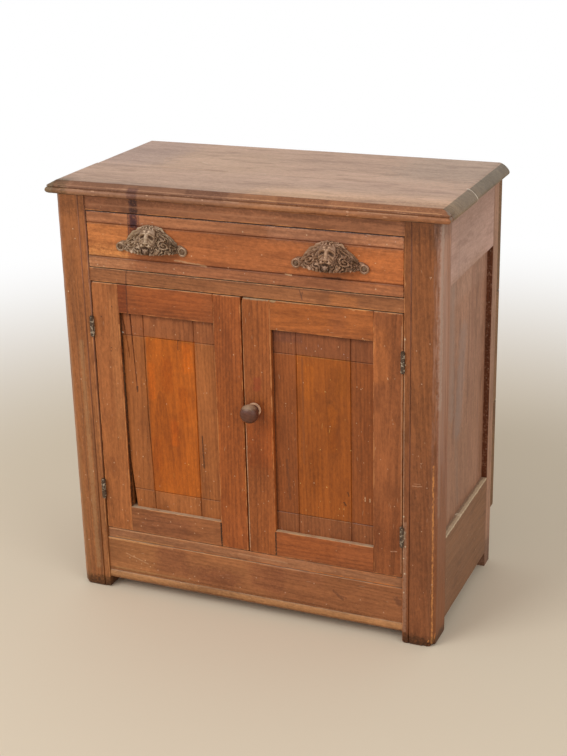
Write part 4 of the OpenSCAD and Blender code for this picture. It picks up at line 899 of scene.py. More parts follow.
grid = bitten(grid, [(-351, -166, 751, 9.5), (353, -168, 752, 9), (344, -158, 753.5, 7), (354, -32, 744, 6),
                     (-350, -70, 748, 5), (120, -169, 744, 3.5), (-230, -168.6, 745, 3.2),
                     (20, -168.4, 733, 2.6), (250, -168.5, 734, 3)])
count, width = grid.shape[:2]
index = np.arange(count * width).reshape(count, width)
rim = np.concatenate([index[:, 0], index[-1, 1:], index[::-1, -1][1:], index[0, ::-1][1:-1]])
marks = top_marks(arris_y / MM)
# The tones of both top boards carry a painted sheen over the wood's own dusty colour
look = {"streaks": 1.25, "clouds": 1.3, "figure": 0.03, "light": 1.3, "deep": 0.7, "face": "xy", "dust": 0.0,
        "specks": 0.14, "wear": 0.0, "rough": 0.42}
finish = pine("top_front_pine", front_low, front_high, (191, 157, 135), "xy", seed=81, marks=marks, **look)
piece("top_front_moulded", grid, [weave(count, width), rim[::-1]], finish, "top_wood", "top_front_board")

# The rear board has shrunk a little more, and it keeps only the marks that reach behind the seam
SHRUNK, SEAM_MARKS = 2.2 * MM, -40
flat_x = np.linspace(-(half - 3.4 * MM), half - 3.4 * MM, 60)
right_side = section + (half - SHRUNK, 0)
left_side = right_side[::-1] * (-1, 1)
right_side[:len(a)] += worn
under = np.linspace(right_side[-1, 0] - 6 * MM, left_side[0, 0] + 6 * MM, 30)
flat = np.stack([flat_x, flat_x * 0 + thick], 1)
outline = np.concatenate([left_side, flat, right_side, np.stack([under, under * 0], 1)])
y = np.linspace(back_low.y + 3 * MM, back_high.y - 1 * MM, 26)
y = np.concatenate([[back_low.y, back_low.y + 0.5 * MM], y, [back_high.y]])
ring = np.empty((len(y), len(outline), 3))
ring[..., 0], ring[..., 1], ring[..., 2] = outline[:, 0], y[:, None], outline[:, 1] + back_low.z
ring = top_dressing(ring, 6)
ring = bitten(ring, [(352, 100, 748, 5), (351, 186, 751, 7), (-351, 187, 750, 6), (352, -6, 749, 4.5)])
marks = [mark for mark in marks if mark[2][1] > SEAM_MARKS]
finish = pine("top_back_pine", back_low, back_high, (195, 160, 137), "xy", seed=84, marks=marks, **look)
piece("top_back_moulded", ring, swept(ring[:, ::-1]), finish, "top_wood", "top_back_board")

# Doors
# Each is a frame of two stiles and two rails, mortised together, round a flat panel that lies in
# grooves and carries two upright and two level scratched lines. The left panel has cracked and drawn
# out of its stile at the foot.

PANEL_LINES, PANEL_LEVELS = (92.2, 186.4), (203.8, 489.7)
LINE_DARK = {"left": (0.8, 0.6), "right": (0.4, 0.5)}
DOOR_TONES = {
    "left": {"hinge_stile": (160, 99, 60), "meeting_stile": (157, 88, 49), "top_rail": (146, 83, 49),
             "bottom_rail": (148, 94, 61), "panel": (162, 99, 57)},
    "right": {"hinge_stile": (146, 88, 55), "meeting_stile": (155, 90, 51), "top_rail": (149, 88, 53),
              "bottom_rail": (153, 89, 54), "panel": (145, 83, 47)},
}
# Tones of a panel between its scratched lines, above them and below them
CENTRE = {"left": (177, 96, 39), "right": (158, 88, 41)}
UPPER_BAND = {"left": (153, 93, 59), "right": (137, 83, 55)}
LOWER_BAND = {"left": (164, 101, 59), "right": (143, 88, 57)}
PANEL_SPECKS = ((84, 508), (126, 500), (166, 512), (104, 443), (150, 372), (204, 444), (72, 402), (120, 266),
                (208, 316), (172, 214), (96, 190), (146, 184), (210, 182), (66, 240))
# How far the left panel has drawn out of its stile, and its cracks, as top, foot and half width
DRAWN_OUT, CRACK_DEEP = 17 * MM, 3.2 * MM
CRACKS = (((-229, 538), (-214, 444), 1.5), ((-211.5, 538), (-204.7, 396), 1.2))


def left_door_marks(joint, jamb):
    """Marks on the left door; joint and jamb are the inner edges of its meeting and its hinge stile."""
    return {
        "hinge_stile": [
            zone((-272, 120), (-236, 300), 60, (160, 98, 56), 0.45),
            zone((-242, 300), (-232, 560), 7, (176, 116, 72), 0.45),
            # Painted shade, with some dirt, on the stile's inner side face, then a thin painted highlight on
            # its arris
            stroke((jamb, -156.5, 532), (jamb, -156.5, 168), 5, (44, 29, 21), 0.9),
            stroke((jamb + 0.2, -158, 440), (jamb + 0.2, -158, 350), 0.8, (120, 122, 98), 0.6),
            *dots(SCUFF, 1.5, (-250, 430), (-238, 402), (-262, 360), (-244, 300), (-256, 250), (-241, 210),
                  (-268, 180), (-246, 160), (-236, 140)),
            *dots((80, 48, 30), 1.8, (-246, 466), (-247, 460), (-240, 540), (-262, 520)),
        ],
        "meeting_stile": [
            zone((-46, 230), (-10, 420), 60, (160, 88, 42), 0.4),
            stroke((joint + 0.4, 123), (joint + 0.4, 166), 1.5, (44, 26, 18), 0.9),
            *dots(SCUFF, 1.4, (-38, 520), (-16, 480), (-30, 350), (-22, 260), (-40, 200), (-12, 150)),
        ],
        "top_rail": [
            zone((-227, 525), (-210, 585), 2.6, (118, 58, 36), 0.7),
            stroke((-210, 585), (-211, 530), 1.2, (72, 40, 28), 0.75),
            zone((-180, 548), (-80, 566), 22, (156, 84, 46), 0.45),
        ],
        "bottom_rail": [
            zone((-200, 130), (-120, 150), 18, (134, 84, 60), 0.5),
            stroke((joint - 0.8, 123), (joint - 0.8, 166), 1.8, (44, 26, 18), 0.9),
            *dots(SCUFF, 1.5, (-214, 158), (-200, 150), (-176, 141), (-150, 152), (-131, 146), (-104, 138),
                  (-88, 150), (-210, 134)),
        ],
        "panel": [
            zone((-170, 360), (-130, 470), 40, (168, 100, 48), 0.3),
            stroke((-122, 491), (-123, 473), 1.2, (70, 40, 24), 0.8),
            zone((-160, 230), (-128, 330), 30, (146, 84, 44), 0.3),
            stroke((-84.6, 322), (-83.4, 262), 1.8, (64, 36, 22), 0.8),
            zone((-150, 400), (-142, 450), 12, (150, 84, 36), 0.6),
            zone((-120, 350), (-112, 400), 10, (152, 86, 34), 0.6),
            zone((-176, 250), (-170, 300), 10, (150, 84, 36), 0.5),
            zone((-110, 440), (-104, 480), 10, (188, 108, 46), 0.6),
            zone((-140, 300), (-134, 340), 8, (190, 106, 40), 0.6),
            zone((-180, 380), (-174, 440), 8, (190, 108, 44), 0.5),
            stroke((-205.2, 397), (-204.6, 389), 2.4, (60, 34, 24), 0.85),
            stroke((-226.5, 493.7), (-226, 493), 1.6, (226, 214, 196), 0.9),
            stroke((-211.5, 530), (-205, 398), 1.5, (84, 44, 42), 0.45),
            # Painted shade in the gap where the panel has drawn out of its stile
            stroke((-228.5, 531), (-227, 240), 2.0, (44, 27, 19), 0.8),
            *dots((204, 162, 128), 1.2, (-79.5, 306), (-78.5, 299), (-80, 291), (-86.5, 268), (-81, 256)),
        ],
    }


def right_door_marks(seam):
    """Marks on the right door; seam is the inner edge of its meeting stile."""
    return {
        "hinge_stile": [
            zone((-290, 100), (290, 180), 50, (128, 72, 44), 0.35),
            stroke((275, 560), (276, 130), 1.8, (182, 134, 100), 0.5),
            zone((228, 180), (280, 240), 30, (134, 76, 46), 0.4),
            stroke((258, 167), (268, 168.5), 1.2, (196, 150, 120), 0.7),
            zone((228, 470), (245, 545), 16, (172, 104, 60), 0.5),
            *dots((196, 152, 118), 1.4, (246.5, 525), (252, 470), (261, 395), (240, 330), (264, 250),
                  (238, 196), (256, 140)),
        ],
        "meeting_stile": [
            zone((8, 300), (46, 360), 40, (158, 78, 36), 0.5),
            stroke((24, 425), (26, 440), 9, (150, 62, 34), 0.5),
            stroke((3, 580), (47, 580), 2.8, (158, 136, 108), 0.75),
            stroke((1, 575), (2, 122), 1.6, (176, 132, 96), 0.5),
            stroke((2, 350), (2.5, 130), 1.4, (206, 164, 130), 0.5),
            stroke((seam - 0.4, 123), (seam - 0.4, 166), 1.5, (48, 28, 19), 0.85),
            zone((10, 376), (34, 398), 9, (112, 54, 30), 0.45),
            *dots((196, 150, 116), 1.4, (23, 500), (34, 455), (14, 332), (40, 270), (20, 214), (31, 165)),
        ],
        "top_rail": [
            stroke((50, 580), (60, 580), 2.6, (158, 136, 108), 0.75),
            stroke((70, 580.5), (110, 580.5), 1.8, (170, 132, 100), 0.6),
            zone((60, 545), (140, 570), 30, (174, 100, 50), 0.5),
            zone((190, 550), (226, 575), 24, (176, 104, 56), 0.45),
            *dots((204, 162, 128), 1.4, (210, 533.6), (62.6, 533), (118, 556), (152, 541), (181, 566)),
        ],
        "bottom_rail": [
            zone((50, 140), (150, 160), 20, (158, 88, 48), 0.5),
            stroke((seam + 0.6, 123), (seam + 0.6, 166), 1.5, (48, 28, 19), 0.85),
        ],
        "panel": [
            stroke((seam + 1, 160), (seam + 1, 535), 2.2, (62, 34, 22), 0.6),
            stroke((173, 239), (176, 234), 2.6, (70, 38, 20), 0.85),
            stroke((180, 258), (182, 252), 1.8, (76, 42, 22), 0.8),
            stroke((210.2, 254), (210.2, 247), 1.2, (220, 180, 140), 0.8),
            stroke((218.7, 252), (218.7, 247), 1.1, (220, 180, 140), 0.75),
            stroke((102.5, 485), (103, 300), 2.6, (132, 74, 38), 0.55),
            stroke((207, 531), (210, 529), 1.8, (220, 190, 160), 0.8),
            zone((112, 380), (160, 470), 40, (140, 82, 46), 0.25),
            zone((55, 512), (100, 526), 6, (116, 70, 50), 0.5),
            stroke((72, 300), (76, 230), 3, (96, 54, 32), 0.6),
            zone((120, 250), (128, 320), 12, (136, 76, 38), 0.5),
            zone((150, 330), (156, 400), 10, (168, 94, 42), 0.5),
            zone((110, 420), (116, 470), 10, (168, 96, 46), 0.5),
            zone((168, 430), (174, 470), 12, (138, 80, 42), 0.5),
        ],
    }


def drawn_panel(low, high):
    """Warp that draws a panel's left edge in at the foot, less and less up to half height and with the
    fourth power of the distance from its right edge, and sinks the cracks along the grain."""
    def warp(points, sharp, hollow):
        mid_z = (low.z + high.z) / 2
        pull = DRAWN_OUT * np.clip((mid_z - points[:, 2]) / (mid_z - low.z), 0, 1)
        points[:, 0] += pull * ((high.x - points[:, 0]) / (high.x - low.x)).clip(0) ** 4
        face = sharp[:, 1] < low.y + 1 * MM
        for (x0, z0), (x1, z1), wide in CRACKS:
            t = np.clip((points[:, 2] / MM - z0) / (z1 - z0), 0, 1)
            there = (points[:, 2] > z1 * MM) & face
            off = np.abs(points[:, 0] / MM - (x0 + (x1 - x0) * t)) / (wide * (1.1 - t))
            points[:, 1] += CRACK_DEEP * (1 - off).clip(0) * there
            np.maximum(hollow, (1.2 * (1 - off)).clip(0, 0.8) * there, out=hollow)
    return warp


for side, hand in ((-1, "left"), (1, "right")):
    tones, door = DOOR_TONES[hand], hand + "_door_"
    hinge, meeting, panel = (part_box(door + name) for name in ("hinge_stile", "meeting_stile", "panel"))
    if side < 0:
        rail = {"low": (hinge[1].x, None, None), "high": (meeting[0].x, None, None)}
        shaved = {"low": (hinge[0].x + SHAVED, None, None)}
        own = left_door_marks(meeting[0].x / MM, hinge[1].x / MM)
        soft = [(-277, -162.5, 580, 6, 1.5)]
        torn = {"extra": [("x", at) for at in np.arange(-236, -200, 0.7)], "warp": drawn_panel(*panel),
                "bites": [(-236, -155, 166, 8)]}
    else:
        rail = {"low": (meeting[1].x, None, None), "high": (hinge[0].x, None, None)}
        shaved = {"high": (hinge[1].x - SHAVED, None, None)}
        own = right_door_marks(meeting[1].x / MM)
        soft = [(1.2, -162.5, 580.7, 9, 4)]
        torn = {}
    stile = {"slot": "door_wood", "grain": "zx", "keep_ends": False, "soft": soft, "ends": True, "wear": 1.3}
    board(door + "hinge_stile", tones["hinge_stile"], **shaved, seed=101 + side, ease=1.2,
          marks=own["hinge_stile"], **stile)
    board(door + "meeting_stile", tones["meeting_stile"], seed=104 + side, ease=1.3,
          marks=own["meeting_stile"], clouds=1.9, figure=0.3, **stile)
    board(door + "top_rail", tones["top_rail"], **rail, seed=107 + side, slot="door_wood", ease=0.9,
          marks=own["top_rail"])
    board(door + "bottom_rail", tones["bottom_rail"], **rail, seed=110 + side, slot="door_wood", ease=1.1,
          marks=own["bottom_rail"], dust=0.95)
    upright = sorted(side * at for at in PANEL_LINES)
    foot, head = PANEL_LEVELS
    lines = [("x", at, 1.2, dark) for at, dark in zip(upright, LINE_DARK[hand])]
    lines += [("z", at, 1.1, 0.8) for at in PANEL_LEVELS]
    marks = [
        area((upright[0] + (4 if side < 0 else 0), foot), (upright[1], head), 2.2, CENTRE[hand], 1.0),
        area((-300, head + 1), (300, 560), 2.2, UPPER_BAND[hand], 0.9),
        area((-300, 150), (300, foot - 1), 2.2, LOWER_BAND[hand], 0.9),
        # Painted shadow under each door's top rail, across the top of the panel
        zone((-300, 526), (300, 545), 5, (84, 48, 34), 0.3),
        *own["panel"],
        *dots(SCUFF, 1.3, *((side * x, z) for x, z in PANEL_SPECKS)),
    ]
    board(door + "panel", tones["panel"], seed=113 + side, slot="panel_wood", grain="zx", ease=0.4, step=10,
          lines=lines, marks=marks, wear=0.3, sag=0.3, streaks=1.15, clouds=1.4, figure=0.2, **torn)

# Drawer front
# A solid pine front with two scratched lines along it; the box behind is dovetailed into its ends.

low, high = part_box("drawer_front")
lines = [("z", low.z / MM + 19.5, 1.5, 0.9), ("z", high.z / MM - 19.5, 1.5, 0.9)]
upper, lower = lines[1][1], lines[0][1]
marks = [
    area((-300, upper + 1), (300, 720), 1.8, (165, 109, 76), 1.0),
    area((-300, 600), (300, lower - 1), 1.8, (162, 104, 72), 1.0),
    # Painted shade, soft and broad, along each scratched line
    stroke((-280, upper + 0.5), (280, upper + 0.5), 4.2, (112, 64, 42), 0.5),
    stroke((-280, lower - 0.5), (280, lower - 0.5), 4.2, (112, 64, 42), 0.5),
    zone((-290, lower + 1), (-203, upper - 1), 3.5, (192, 121, 71), 0.95),
    zone((-290, 600), (-210, lower - 2), 30, (192, 124, 76), 0.8),
    zone((200, lower), (280, upper), 24, (188, 110, 62), 0.6),
    zone((60, upper + 3), (280, 712), 20, (182, 115, 76), 0.8),
    zone((-193, 684), (-184, 714), 4, (96, 56, 50), 0.9),
    zone((-196.5, 655), (-181, 712), 3.5, (128, 72, 50), 0.9),
    stroke((-198.5, 706), (-200, 640), 1.6, DRIP, 0.65),
    stroke((-178.5, 704), (-178.5, 676), 1.2, DRIP, 0.5),
    zone((-195, 678), (-184, 690), 5, (116, 66, 50), 0.5),
    stroke((-116, 632), (-60, 627), 2.2, (196, 158, 120), 0.55),
    stroke((80, 627), (90, 626), 1.8, (210, 172, 134), 0.7),
    stroke((146, 627), (174, 627.6), 2.4, (58, 34, 24), 0.7),
    stroke((-276, 606), (276, 606), 2.6, (84, 50, 34), 0.55),
    # Painted shadow of the gap above the drawer, along its top edge
    stroke((-280, high.z / MM), (280, high.z / MM), 1.8, (80, 46, 30), 0.85)]
marks += dots((206, 166, 132), 1.5, (-262, 612), (-250, 610), (-118, 617), (-101, 612), (-94, 645),
              (-85, 642), (8, 690), (40, 655), (118, 694), (205, 668), (232, 617), (60, 612), (-20, 628),
              (250, 690))
board("drawer_front", (170, 102, 62), low=(low.x + 1.25 * SHAVED, None, None),
      high=(high.x - 1.25 * SHAVED, None, None), seed=121, slot="drawer_front_wood", ease=1.2, step=10,
      lines=lines, keep_ends=False, marks=marks, streaks=1.5, specks=0.4, ends=True)

# Pulls
# Two cast cups, screwed to the drawer through a scroll at each end: a lion's mask in a mane of curling
# locks, open below for the fingers. Brown in the hollows and rubbed pale on the high parts.


def cast(name, tone, pale, dark, rough=0.42, metallic=0.5, flecks=0.55, sculpted=True):
    """Old metal: a mottled tone that goes dark in the hollows, is rubbed pale on the high parts and
    keeps flecks of old paint and lime."""
    material, tree, shader = new_material(name)
    spot = put(tree, "TexCoord")["Object"]
    grain = cloud(tree, spot, (520, 520, 520), 4.0, 0.65)
    blot = cloud(tree, spot, (90, 90, 90), 4.0, 0.6)
    deep = put(tree, "Attribute", attribute_name="hollow")["Fac"] if sculpted else 0.36
    deep = scaled(tree, reckon(tree, "SUBTRACT", grain, 0.5), 0.5 if sculpted else 2.4, deep)
    base = np.array(shade(*tone))
    dull, bright = tuple(base * (0.74, 0.66, 0.58, 1)), tuple(base * (1.16, 1.2, 1.3, 1))
    colour = tint(tree, grade(tree, blot, 0.3, 0.7), dull, bright)
    colour = tint(tree, grade(tree, deep, -0.1, 0.3, 0.7, 0.0), colour, shade(*pale))
    colour = tint(tree, grade(tree, deep, 0.38, 0.85), colour, shade(*dark))
    fleck = cloud(tree, spot, (300, 300, 300) if sculpted else (200, 200, 200), 3.0, 0.7)
    start = 0.64 if sculpted else 0.54
    colour = tint(tree, grade(tree, fleck, start, start + 0.06, 0.0, flecks), colour, shade(206, 190, 166))
    tree.links.new(colour, shader.inputs["Base Color"])
    shader.inputs["Metallic"].default_value = metallic
    tree.links.new(scaled(tree, grain, 0.3, rough - 0.1), shader.inputs["Roughness"])
    bump = put(tree, "Bump", {"Strength": 0.5, "Distance": 0.0003, "Height": grain})[0]
    tree.links.new(bump, shader.inputs["Normal"])
    return material


def knoll(x, q, at_x, at_q, half_x, half_q, lean=0):
    """Rounded hill exp(-(dx / half_x)^2 - (dq / half_q)^2) about a place and its mirror image; lean
    turns its long axis so that it falls outwards."""
    dx = np.abs(x) - at_x
    dq = q - at_q - lean * dx
    return np.exp(-((dx / half_x) ** 2) - (dq / half_q) ** 2)


def rising(value, at, wide):
    """Rises from 0 to 1 where value passes at: 1 / (1 + exp(-(value - at) / wide))."""
    return 1 / (1 + np.exp(-np.clip((value - at) / wide, -40, 40)))


# Hills and hollows of the mask: height, distance beside the middle, way down the hood, half width, half
# height and lean, in mm
FEATURES = {
    "forehead": (1.6, 4.8, 21.5, 3.2, 3.2, 0), "furrow": (-1.6, 0, 21, 1.1, 5, 0),
    "brow": (3.6, 8, 27.4, 4.8, 1.6, 0.25), "eye_socket": (-5.2, 8.2, 31.4, 3.8, 1.9, 0.3),
    "eye": (2.4, 8, 31.8, 1.6, 1, 0), "cheekbone": (2.2, 9.4, 35.6, 3.6, 1.1, 0.5),
    "bridge": (3.2, 0, 32, 2.8, 8, 0), "beside_the_nose": (-1.4, 4.6, 36, 1.2, 5, 0),
    "nose": (3.6, 0, 40.6, 5.6, 2, 0), "nostril": (-3.8, 3.2, 42.8, 1.6, 0.9, -0.3),
    "muzzle": (2.2, 5.4, 44.4, 4.4, 1.6, 0.2), "cleft": (-2, 0, 44.8, 0.8, 1.6, 0),
    "mouth": (-5.2, 4.2, 47.6, 6, 1.4, 0.25), "fang": (2.6, 4.6, 48.8, 1, 1.1, 0),
    "chin": (1.8, 0, 53.6, 5.4, 2.6, 0), "jaw": (-2.2, 7.4, 53, 1.3, 3.2, 0),
    "ear": (2.6, 19.5, 8, 3.4, 3.6, 0), "inner_ear": (-2.8, 19.5, 9.4, 1.6, 2, 0),
}


def lion(x, q):
    """Height in mm of the casting's relief at x across and q down the hood (0 at the crest, 57 at the
    lip): the features of the face, then locks of the mane as sharpened cosine ridges whose phase grows
    with the distance from the face, with the way down beside the chin, and round a curl on each side.
    Each lock carries finer strands, the cosine of three times its phase."""
    ax = np.abs(x)
    at = np.stack([ax + 0.25 * x + 0 * q, q + 0 * ax], -1)
    stray = wander(at, 15, 3)
    wide = 15.6 - 0.014 * (q - 28) ** 2 - 3.2 * rising(q, 46, 1.5)
    out = ax - wide
    face = rising(-out, 0, 0.9) * rising(q, 15, 1.0)
    rise = face * 2.0 * (1 - (ax / 17) ** 2)
    rise += face * 0.9 * np.cos(2 * np.pi * (q - 0.7 * ax) / 3.8) * rising(ax, 6, 1.0) * rising(q, 35, 1.5)
    rise += sum(height * knoll(x, q, *where) for height, *where in FEATURES.values())
    # Where the locks run round the face, hang, sweep back beside the crest, or curl
    low = rising(q, 43, 3.0)
    upper = rising(19 - q + 0.05 * ax, 0, 1.3) * rising(ax, 10, 2.0)
    curl_x, curl_q = ax - 29.5, q - 38.5
    curl_r = np.hypot(curl_x, curl_q)
    curl = rising(9.4 - curl_r, 0, 0.6)
    round_face = 2 * np.pi * (out + 0.25 * (34 - q)) / 7.6 + 4.2 * stray + 0.9 * np.sin(q / 2.9)
    hanging = 2 * np.pi * (ax + 0.7 * (q - 57)) / 7.2 + 3.6 * stray
    swept_back = 2 * np.pi * (q + 0.7 * np.sin(ax / 3.6)) / 6.4 + 1.8 * stray
    curling = 2 * np.pi * curl_r / 5.6 - np.arctan2(curl_q, curl_x)
    phase, ridges = ((((1 - low) * wave(round_face) + low * wave(hanging)) * (1 - upper)
                      + wave(swept_back) * upper) * (1 - curl) + wave(curling) * curl
                     for wave in (np.positive, np.cos))
    sharp = np.sign(ridges) * np.abs(ridges) ** 0.65 + 0.32 * np.cos(3 * phase + wander(at, 6, 8))
    deep = 1.7 + 1.1 * wander(at, 10, 5)
    rise += (1 - face) * rising(out, 0.6, 0.5) * (deep * sharp - 0.3) + 0.9 * curl
    rise -= (1.7 + 0.9 * stray) * np.exp(-((out / 1.2) ** 2)) * rising(q, 12, 1.5)
    tufts = np.cos(np.pi * (ax + 0.12 * q) / 5.8 + 0.8 * np.sin(q / 1.7) + 0.5 * stray)
    tufts = (3.1 * np.abs(tufts) ** 1.5 - 0.6) * (0.6 + 0.05 * q)
    return rise + (1 - upper) * rising(15 - q, 0, 0.9) * rising(16 - ax, 0, 1.5) * tufts


def evened(field, reach):
    """Mean of the field over about reach points each way, weighted by exp(-(i / reach)^2)."""
    near = np.arange(-2 * reach, 2 * reach + 1)
    bell = np.exp(-((near / reach) ** 2))
    for axis in (0, 1):
        wide = np.pad(field, [(2 * reach,) * 2 if k == axis else (0, 0) for k in (0, 1)], mode="edge")
        field = sum(b * np.roll(wide, -i, axis) for i, b in zip(near, bell)) / bell.sum()
        field = field[2 * reach:-2 * reach] if axis == 0 else field[:, 2 * reach:-2 * reach]
    return field


# Sizes of the pull in mm, with heights counted from the scrolls' centres. The root is the swelling
# between hood and scroll: part of a circle whose centre lies ROOT_IN inwards of the scroll's.
PULL_WALL, MASK_RISE, SCROLL_R, SCROLL_IN = 2.2, 5.2, 8.0, 8.0
ROOT_R, ROOT_IN, ROOT_FROM, ROOT_TO = 9, 5, 43, 61
low, high = (np.array(corner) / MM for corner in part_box("pull_right"))
PULL_HALF, PULL_OUT = (high[0] - low[0]) / 2, high[1] - low[1]
PULL_EAR, HOOD_HALF, PULL_CREST, PULL_LIP, END_TOP, END_FOOT, MASK_LONG = 3.5, 50, 40, 2, 5, 3, 57


def pull_surface(wall):
    """Grid across x and down t from the crest (0) to the lip (1). Over the hood its section is a quarter
    ellipse of height top - foot and depth out; over the scrolls it turns into a flat plate."""
    near = 0.02 * np.arange(5) ** 2
    even = np.linspace(-PULL_HALF, PULL_HALF, 331)
    x = np.unique(np.concatenate([even, PULL_HALF - near, near - PULL_HALF]))[:, None]
    t = np.linspace(0, 1, 131)[None, :]
    ax = np.abs(x)
    scroll_x = PULL_HALF - SCROLL_IN
    bow = np.cos(np.pi / 2 * np.clip(ax / HOOD_HALF, 0, 1)).clip(0)
    scroll = np.sqrt((SCROLL_R ** 2 - (ax - scroll_x) ** 2).clip(0))
    root = np.sqrt((ROOT_R ** 2 - (ax - scroll_x + ROOT_IN) ** 2).clip(0))
    root *= (ax > ROOT_FROM) & (ax < ROOT_TO)
    over_hood = ax <= HOOD_HALF
    top = np.where(over_hood, END_TOP + (PULL_CREST - END_TOP) * bow ** 0.9, 0)
    top = np.maximum(top, np.maximum(scroll, (3 + root) * (root > 0) * 0.88))
    foot = np.minimum(np.where(over_hood, -PULL_LIP * bow - END_FOOT, 0), -scroll)
    out = PULL_EAR + (PULL_OUT - MASK_RISE - PULL_EAR) * bow ** 0.7
    plate = rising(ax, 49, 1.1)
    angle = t * np.pi / 2
    down = (1 - plate) * np.cos(angle) + plate * (1 - t)
    reach = (1 - plate) * np.sin(angle) + plate * np.clip(t / 0.06, 0, 1) ** 0.5
    hollow = wall > 0
    z = foot + (top - foot - wall * (1 - plate)) * down
    y = -(out - wall) * reach * np.where(hollow, 1 - plate, 1)
    return np.stack(np.broadcast_arrays(x * (1 - wall / PULL_HALF * (1 - plate)), y, z), -1), x, t, plate


outer, x, t, plate = pull_surface(0)
inner = pull_surface(PULL_WALL)[0]
normal = np.cross(*np.gradient(outer, axis=(0, 1)))
normal /= np.linalg.norm(normal, axis=-1, keepdims=True) + 1e-9
normal *= np.sign((normal * (0, -1, 0.4)).sum(-1, keepdims=True))
# A raised ring and a groove run round the eye of each scroll
eye = np.hypot(np.abs(outer[..., 0]) - PULL_HALF + SCROLL_IN, outer[..., 2])
scroll = 1.1 * np.exp(-(((eye - 6.0) / 1.3) ** 2)) - 0.9 * np.exp(-(((eye - 4.1) / 0.5) ** 2))
rise = ((1 - plate) * lion(x, MASK_LONG * t) + plate * scroll) * np.clip(t / 0.03, 0, 1)
outer = outer + rise[..., None] * normal
outer[..., 1] = outer[..., 1].clip(-PULL_OUT, 0)
outer[..., 2] = outer[..., 2].clip(-SCROLL_R, high[2] - low[2] - SCROLL_R)
# The tone is dark where the relief lies below its surroundings, and round the chin
chin = knoll(x, MASK_LONG * t, 0, 53, 8, 4.5) * (1 - plate)
deep = np.clip(0.34 - (rise - evened(rise, 10)) / 4.6 - rise / 30 + 0.95 * chin, 0, 1)
deep = np.stack([deep, np.full(deep.shape, 0.9)])
count, width = outer.shape[:2]
index = np.arange(count * width).reshape(count, width)
back = index + count * width
crest = np.stack([index[:-1, 0], back[:-1, 0], back[1:, 0], index[1:, 0]], -1)
lip = np.stack([index[:-1, -1], index[1:, -1], back[1:, -1], back[:-1, -1]], -1)
faces = [weave(count, width), weave(count, width)[:, ::-1] + count * width, crest, lip]
PULL_TONES = {"left": ((153, 126, 101), (186, 162, 134)), "right": ((149, 115, 90), (180, 144, 114))}
for hand, (tone, pale) in PULL_TONES.items():
    low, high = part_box("pull_" + hand)
    place = np.array([(low.x + high.x) / 2, high.y, low.z + SCROLL_R * MM])
    points = np.stack([outer, inner]) * MM + place
    finish = cast("cast_bronze_" + hand, tone, pale, (98, 73, 55))
    piece("lion_pull_" + hand, points, faces, finish, "bronze", "pull_" + hand, hollow=deep)

# Iron and knob
# Hinges and screws are dark iron with specks of paint. The knob is turned from dark wood, sits on a pale
# collar and is held by a screw from behind.

iron = cast("old_iron", (84, 66, 50), (128, 108, 86), (42, 31, 24), rough=0.55, metallic=0.3, flecks=0.75,
            sculpted=False)
screw_metal = cast("screw_bronze", (118, 92, 70), (160, 134, 106), (60, 44, 34), rough=0.45, metallic=0.4,
                   flecks=0.0, sculpted=False)
dress("pull_screws", screw_metal)
for node in ("post_hinge_leaves", "post_hinge_screws", "hinge_pins", "left_door_hinge_leaves",
             "left_door_hinge_screws", "right_door_hinge_leaves", "right_door_hinge_screws", "knob_screw"):
    dress(node, iron)


def turned(name, node, profile, hollow, finish, slot):
    """Lathe work: profile lists (radius, distance from the door) in mm, in order from the back to the
    front, and is turned through a full circle about the node's axis."""
    low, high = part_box(node)
    angle = np.linspace(0, 2 * np.pi, 72, endpoint=False)
    radius, out = (np.array(column)[:, None] * MM for column in zip(*profile))
    ring = np.stack(np.broadcast_arrays((low.x + high.x) / 2 + radius * np.cos(angle), door_face - out,
                                        (low.z + high.z) / 2 + radius * np.sin(angle)), -1)
    deep = np.repeat(np.array(hollow, float)[:, None], len(angle), 1)
    return piece(name, ring, [weave(*ring.shape[:2], closed=True)], finish, slot, node, hollow=deep)


low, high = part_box("knob_collar")
door_face, collar_r, collar_t = high.y, (high.x - low.x) / 2 / MM, (high.y - low.y) / MM
swing = np.radians(np.linspace(-90, 90, 9))
rim = np.stack([collar_r + collar_t / 2 * (np.cos(swing) - 1), collar_t / 2 * (1 + np.sin(swing))], 1)
profile = [(0, 0), *rim, (collar_r - 4, collar_t), (collar_r - 4.4, collar_t - 0.3), (0, collar_t - 0.3)]
finish = pine("collar_pine", low, high, (214, 170, 138), "xz", seed=131, wear=0.1, specks=0.2, marks=[
    zone((low.x / MM, 370), (high.x / MM, 382), 5, (166, 120, 90), 0.6)])
turned("knob_collar_ring", "knob_collar", profile, [0.5] + [0] * 10 + [0.6, 0.8], finish, "collar_wood")

low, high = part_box("door_knob")
knob_r, knob_out = (high.x - low.x) / 2 / MM, (door_face - low.y) / MM
ball = knob_out - 0.8 * knob_r
swing = np.radians(np.linspace(-62, 90, 44))
# Fine turned rings, 0.24 mm deep, lie on the front half
fine = 0.12 * (1 + np.sin(swing * 23)) * (swing > 0.5)
bulge = [0.2 * knob_r + (0.8 * knob_r - fine) * np.cos(swing), ball + 0.8 * knob_r * np.sin(swing)]
bulge = np.stack(bulge, 1)
neck = collar_r - 5
profile = [(0, collar_t + 0.05), (neck + 1.6, collar_t + 0.05), (neck + 1.4, collar_t + 1.2),
           (neck, collar_t + 2.4), (neck - 0.2, collar_t + 5), *bulge, (0, knob_out)]
finish = pine("knob_pine", low, high, (100, 66, 54), "yx", seed=132, wear=0.1, specks=0.12, streaks=1.1,
              clouds=1.0, rough=0.24)
turned("turned_knob", "door_knob", profile, [0.5, 0.5, 0.4, 0.7, 0.6] + [0] * 45, finish, "knob_wood")

# Floor, light and camera
# A plain pale floor that takes the shadow, soft studio light, and the photograph's point of view.

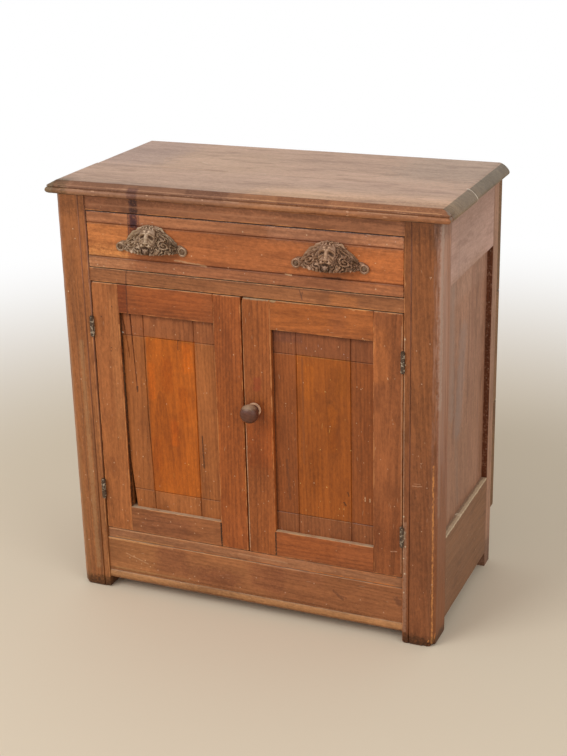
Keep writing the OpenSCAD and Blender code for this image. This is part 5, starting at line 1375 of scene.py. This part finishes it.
floor_mesh = bpy.data.meshes.new("floor")
floor_mesh.from_pydata([(-9, -9, 0), (9, -9, 0), (9, 9, 0), (-9, 9, 0)], [], [(0, 1, 2, 3)])
floor = placed("floor", floor_mesh)
paper, tree, ground = new_material("pale_floor")
ground.inputs["Base Color"].default_value = shade(228, 213, 190)
ground.inputs["Roughness"].default_value = 0.75
away = vector(tree, "LENGTH", vector(tree, "MULTIPLY", put(tree, "TexCoord")["Object"], (1, 1, 0)))
bright = put(tree, "Emission", {"Color": (1, 1, 1, 1), "Strength": 1.0})[0]
camera_ray = put(tree, "LightPath")["Is Camera Ray"]
fade = scaled(tree, grade(tree, away, 0.7, 2.4), camera_ray)
both = put(tree, "MixShader", {0: fade, 1: ground.outputs[0], 2: bright})[0]
tree.links.new(both, tree.nodes["Material Output"].inputs["Surface"])
floor_mesh.materials.append(paper)

world = bpy.data.worlds.new("studio")
bpy.context.scene.world = world
world.use_nodes = True
tree = world.node_tree
tree.nodes.clear()
path = put(tree, "LightPath")
seen = reckon(tree, "MAXIMUM", path["Is Glossy Ray"], path["Is Transmission Ray"])
seen = reckon(tree, "MAXIMUM", path["Is Camera Ray"], seen)
ambient = put(tree, "Background", {"Color": shade(252, 250, 246), "Strength": 0.56})[0]
white = put(tree, "Background", {"Color": (1, 1, 1, 1), "Strength": 1.0})[0]
both = put(tree, "MixShader", {0: seen, 1: ambient, 2: white})[0]
tree.links.new(both, tree.nodes.new("ShaderNodeOutputWorld").inputs["Surface"])


def softbox(name, place, aim, size, power):
    """Square area light at place, turned so that its -Z axis points at aim."""
    data = bpy.data.lights.new(name, "AREA")
    data.size, data.energy = size, power
    lamp = placed(name, data)
    lamp.location = place
    lamp.rotation_euler = (Vector(aim) - Vector(place)).to_track_quat("-Z", "Y").to_euler()


softbox("key", (-1.6, -2.6, 2.6), (0, 0, 0.4), 2.0, 56)
softbox("fill", (2.4, -1.6, 1.8), (0, 0, 0.4), 1.8, 18)

# Place in metres, angles in radians, and focal length in mm on a sensor 36 mm wide
CAMERA_AT = (0.95495, -2.21244, 1.28411)
YAW, PITCH, ROLL, LENS = 0.406444, 0.357651, -0.024260, 69.55
ahead = np.array([-np.sin(YAW) * np.cos(PITCH), np.cos(YAW) * np.cos(PITCH), -np.sin(PITCH)])
level_right = np.array([np.cos(YAW), np.sin(YAW), 0])
level_up = np.cross(level_right, ahead)
right = np.cos(ROLL) * level_right + np.sin(ROLL) * level_up
up = np.cos(ROLL) * level_up - np.sin(ROLL) * level_right
view = bpy.data.cameras.new("view")
view.lens, view.sensor_width = LENS, 36
camera = placed("view", view)
pose = np.eye(4)
pose[:3] = np.stack([right, up, -ahead, CAMERA_AT], 1)
camera.matrix_world = Matrix(pose.tolist())
bpy.context.scene.camera = camera
bpy.context.scene.view_settings.view_transform = "Standard"
